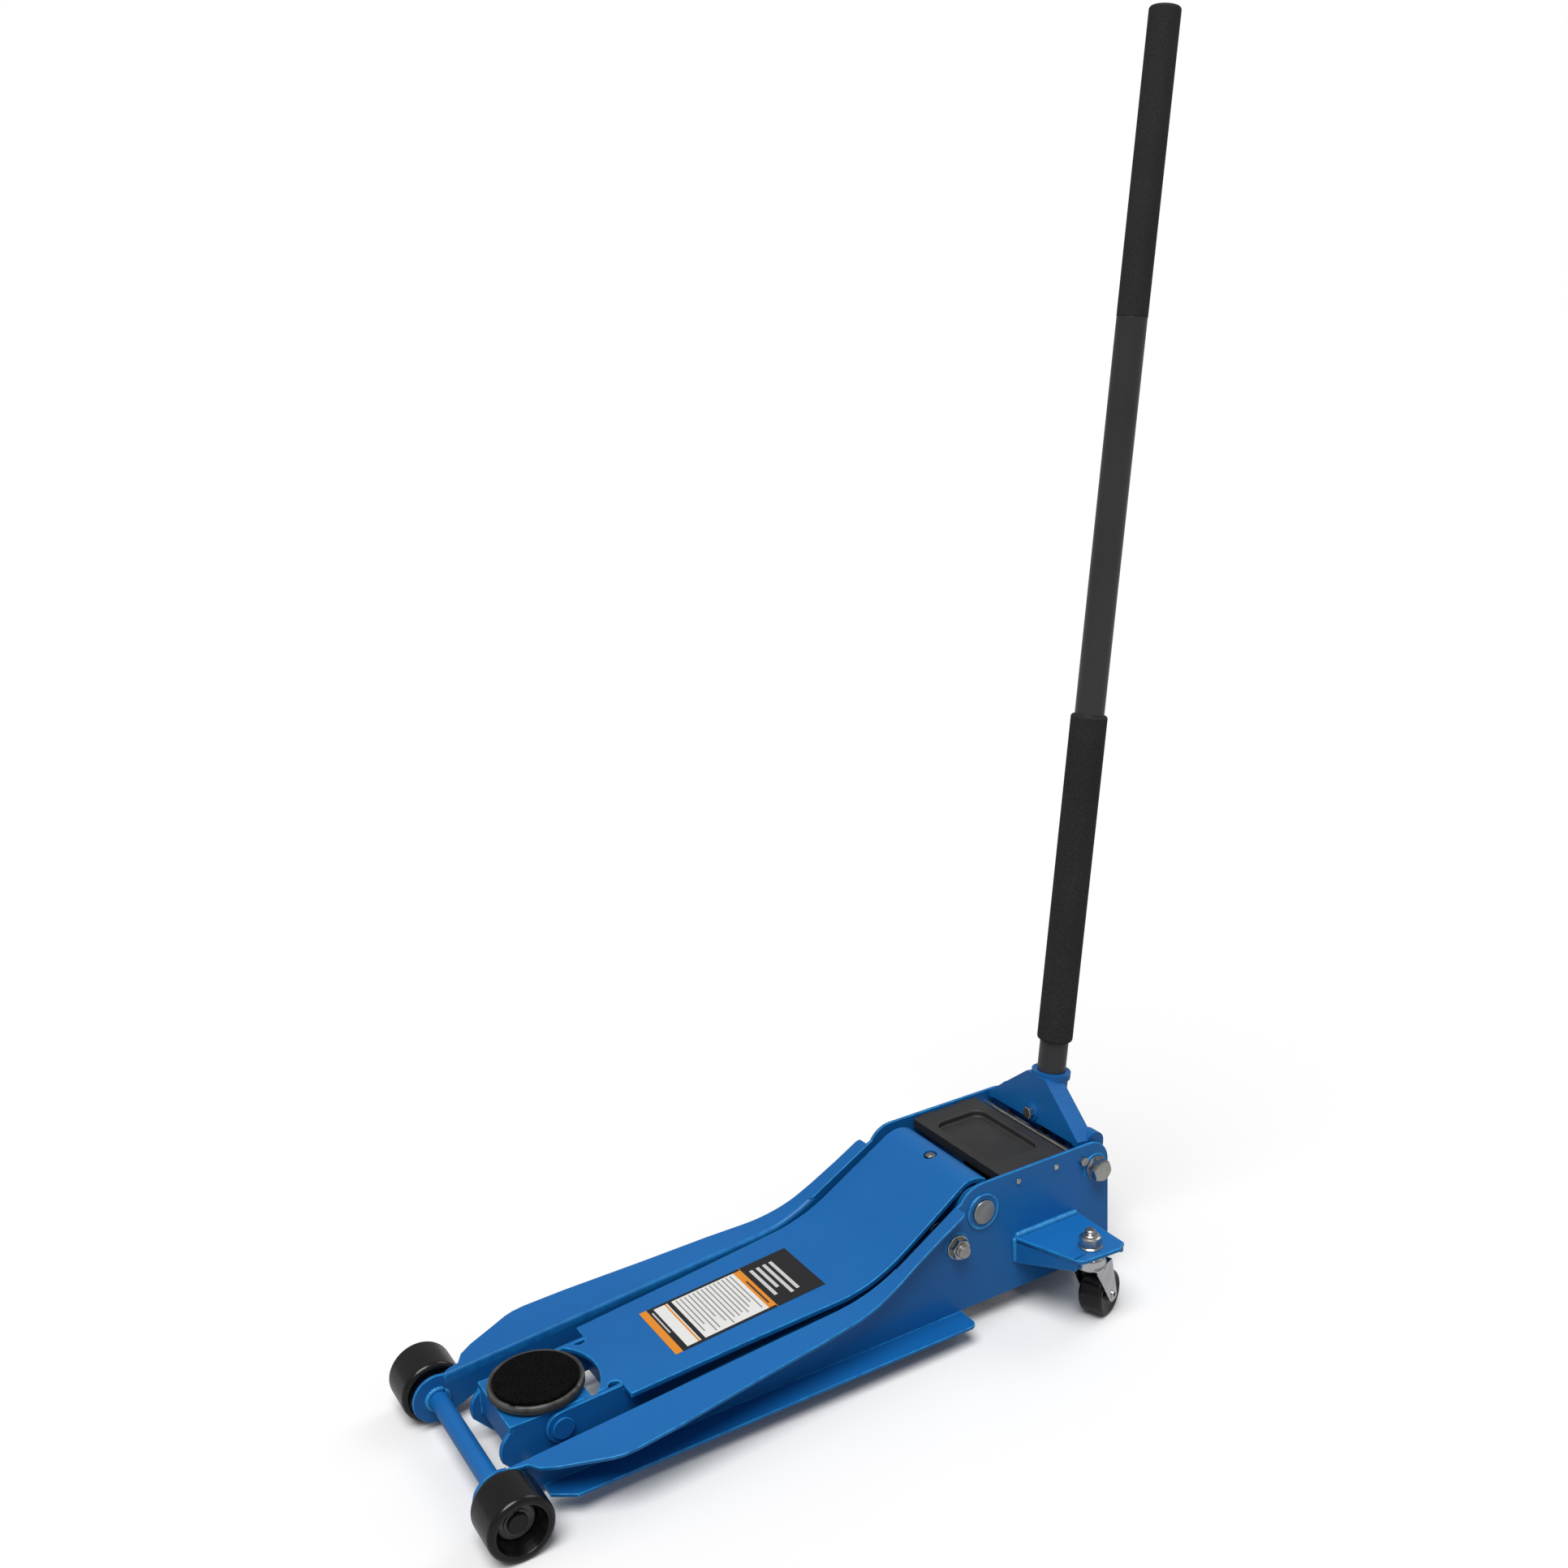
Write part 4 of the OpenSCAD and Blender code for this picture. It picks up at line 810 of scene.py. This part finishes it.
def make_saddle():
    """The cast saddle: a dished ring with four shallow notches in its rim."""
    low, high = (Vector(c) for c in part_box("saddle"))
    pad_low, pad_high = (Vector(c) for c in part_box("saddle_pad"))
    radius, pad = (high.x - low.x) / 2 / MM, (pad_high.x - pad_low.x) / 2 / MM
    under, top = low.z / MM, high.z / MM
    post, base = 14.0, 70.4  # radius of the post, and underside of the ring
    notch_at, notch_half, notch_deep = 38, 4.1, 1.8  # degrees, degrees, millimetres
    centre = Vector((0, (low.y + high.y) / 2, 0))
    bm = bmesh.new()
    turned(bm, [
        (0, under), (post - 1, under), (post, under + 1), (post, base), (radius - 6, base),
        (radius - 2.0, base + 1.4), (radius, base + 4), (radius, top - 3.6), (radius - 0.7, top - 1.2),
        (radius - 2.2, top), (pad + 2.4, top), (pad + 1.2, top - 0.9), (pad + 0.5, top - 3),
        (0, top - 3),
    ], centre, UP, 180)
    for v in bm.verts:
        off = v.co - centre
        turn = math.degrees(math.atan2(off.y, off.x)) % 90
        on_ring = (pad + 0.9) * MM < off.to_2d().length < (radius - 1) * MM and v.co.z > (top - 3) * MM
        if on_ring and abs(turn - notch_at) < notch_half:
            v.co.z -= notch_deep * MM
    # The rim's top edge is marked for the lighter edge colour: a painted highlight, with wear.
    band = bm.faces.layers.float.new("round_edge")
    for face in bm.faces:
        off = face.calc_center_median() - centre
        if off.z > (top - 2.4) * MM and off.to_2d().length > (radius - 2.4) * MM:
            face[band] = 1.0
    hand_over(bm, "finished_saddle", "saddle_plate", SADDLE, ["saddle"], sharp=30)


make_saddle()


# ---- Springs ----

STEPS_PER_TURN = 20


def coil(name, start, end, radius, wire, turns, node):
    """A round-wire spring for a CAD node, wound from start to end."""
    bm = bmesh.new()
    out = outwards((end - start).normalized())
    count = int(turns * STEPS_PER_TURN)
    path = []
    for i in range(count + 1):
        share = i / count
        path.append(start + (end - start) * share + out(math.tau * turns * share) * radius)
    swept(bm, path, lambda share: wire, sides=8)
    piece = hand_over(bm, name, None, STEEL, [node], sharp=80, weighted=False)
    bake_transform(piece)


spring_low, spring_high = (Vector(c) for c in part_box("return_springs"))
for label, x in (("left", 54 * MM), ("right", -54 * MM)):
    start = Vector((x, spring_low.y + 1.5 * MM, (spring_low.z + spring_high.z) / 2))
    end = Vector((x, spring_high.y - 1.5 * MM, start.z))
    coil(f"{label}_return_spring", start, end, 4.0 * MM, 0.95 * MM, 34,
         "return_springs")
spring_low, spring_high = (Vector(c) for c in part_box("plunger_spring"))
middle_line = (spring_low + spring_high) / 2
start = Vector((middle_line.x, spring_high.y - 1.0 * MM, middle_line.z))
end = Vector((middle_line.x, spring_low.y + 1.0 * MM, middle_line.z))
coil("plunger_return_spring", start, end, 7.15 * MM, 0.8 * MM, 9, "plunger_spring")


# ---- Weld beads ----

def weld(name, points, radius, body, ripple=0.16, pitch=2.6 * MM):
    """A painted bead of weld along a line of points, with ripples about a pitch apart."""
    path = [points[0]]
    for a, b in zip(points, points[1:]):
        steps = max(2, int((b - a).length / (pitch / 4)))
        path += [a.lerp(b, (i + 1) / steps) for i in range(steps)]
    count = len(path) - 1

    def girth(share):
        ends = min(1.0, share * count / 5, (1 - share) * count / 5)
        wave = abs(math.sin(math.pi * share * count / 4))
        return radius * (0.35 + 0.65 * math.sqrt(max(ends, 0))) * (1 - ripple + ripple * wave)

    bm = bmesh.new()
    swept(bm, path, girth, sides=12)
    # Every face of the bead takes the lighter edge colour: a painted highlight along the bead.
    band = bm.faces.layers.float.new("round_edge")
    for face in bm.faces:
        face[band] = 0.5
    hand_over(bm, name, body, HIGHLIT_BEAD_BLUE, sharp=80, weighted=False)


def circle_points(centre, normal, radius, count=48):
    """A closed ring of points about a normal."""
    out = outwards(normal)
    return [centre + out(math.tau * i / count) * radius for i in range(count + 1)]


for label, sign in (("left", 1), ("right", -1)):
    edge = sign * (PLATE_FACE + 1.0)
    weld(f"{label}_bracket_top_weld", [at(edge, 645, 97), at(edge, 739, 97)], 4.2 * MM, "frame")
    weld(f"{label}_bracket_front_weld", [at(edge, 644.5, 63), at(edge, 644.5, 95)], 3.0 * MM, "frame")
    round_axle = circle_points(at(sign * 90.0, 0, AXLE_Z), LEFT, 12.0 * MM)
    weld(f"{label}_axle_weld", round_axle, 3.0 * MM, "frame")
    round_pivot = circle_points(at(sign * (PLATE_FACE + 0.8), *MAIN_PIVOT), LEFT, 20.4 * MM, 72)
    weld(f"{label}_pivot_weld", round_pivot, 1.9 * MM, "frame")

for label, sign in (("left", 1), ("right", -1)):
    bm = bmesh.new()
    turned(bm, [
        (0, 138), (10.7, 138), (10.7, 141.9), (10.0, 142.7), (3.2, 142.9), (2.4, 142.56), (0, 142.56),
    ], at(0, 0, AXLE_Z), LEFT * sign, 64)
    hand_over(bm, f"{label}_axle_end", "frame", CASTING)
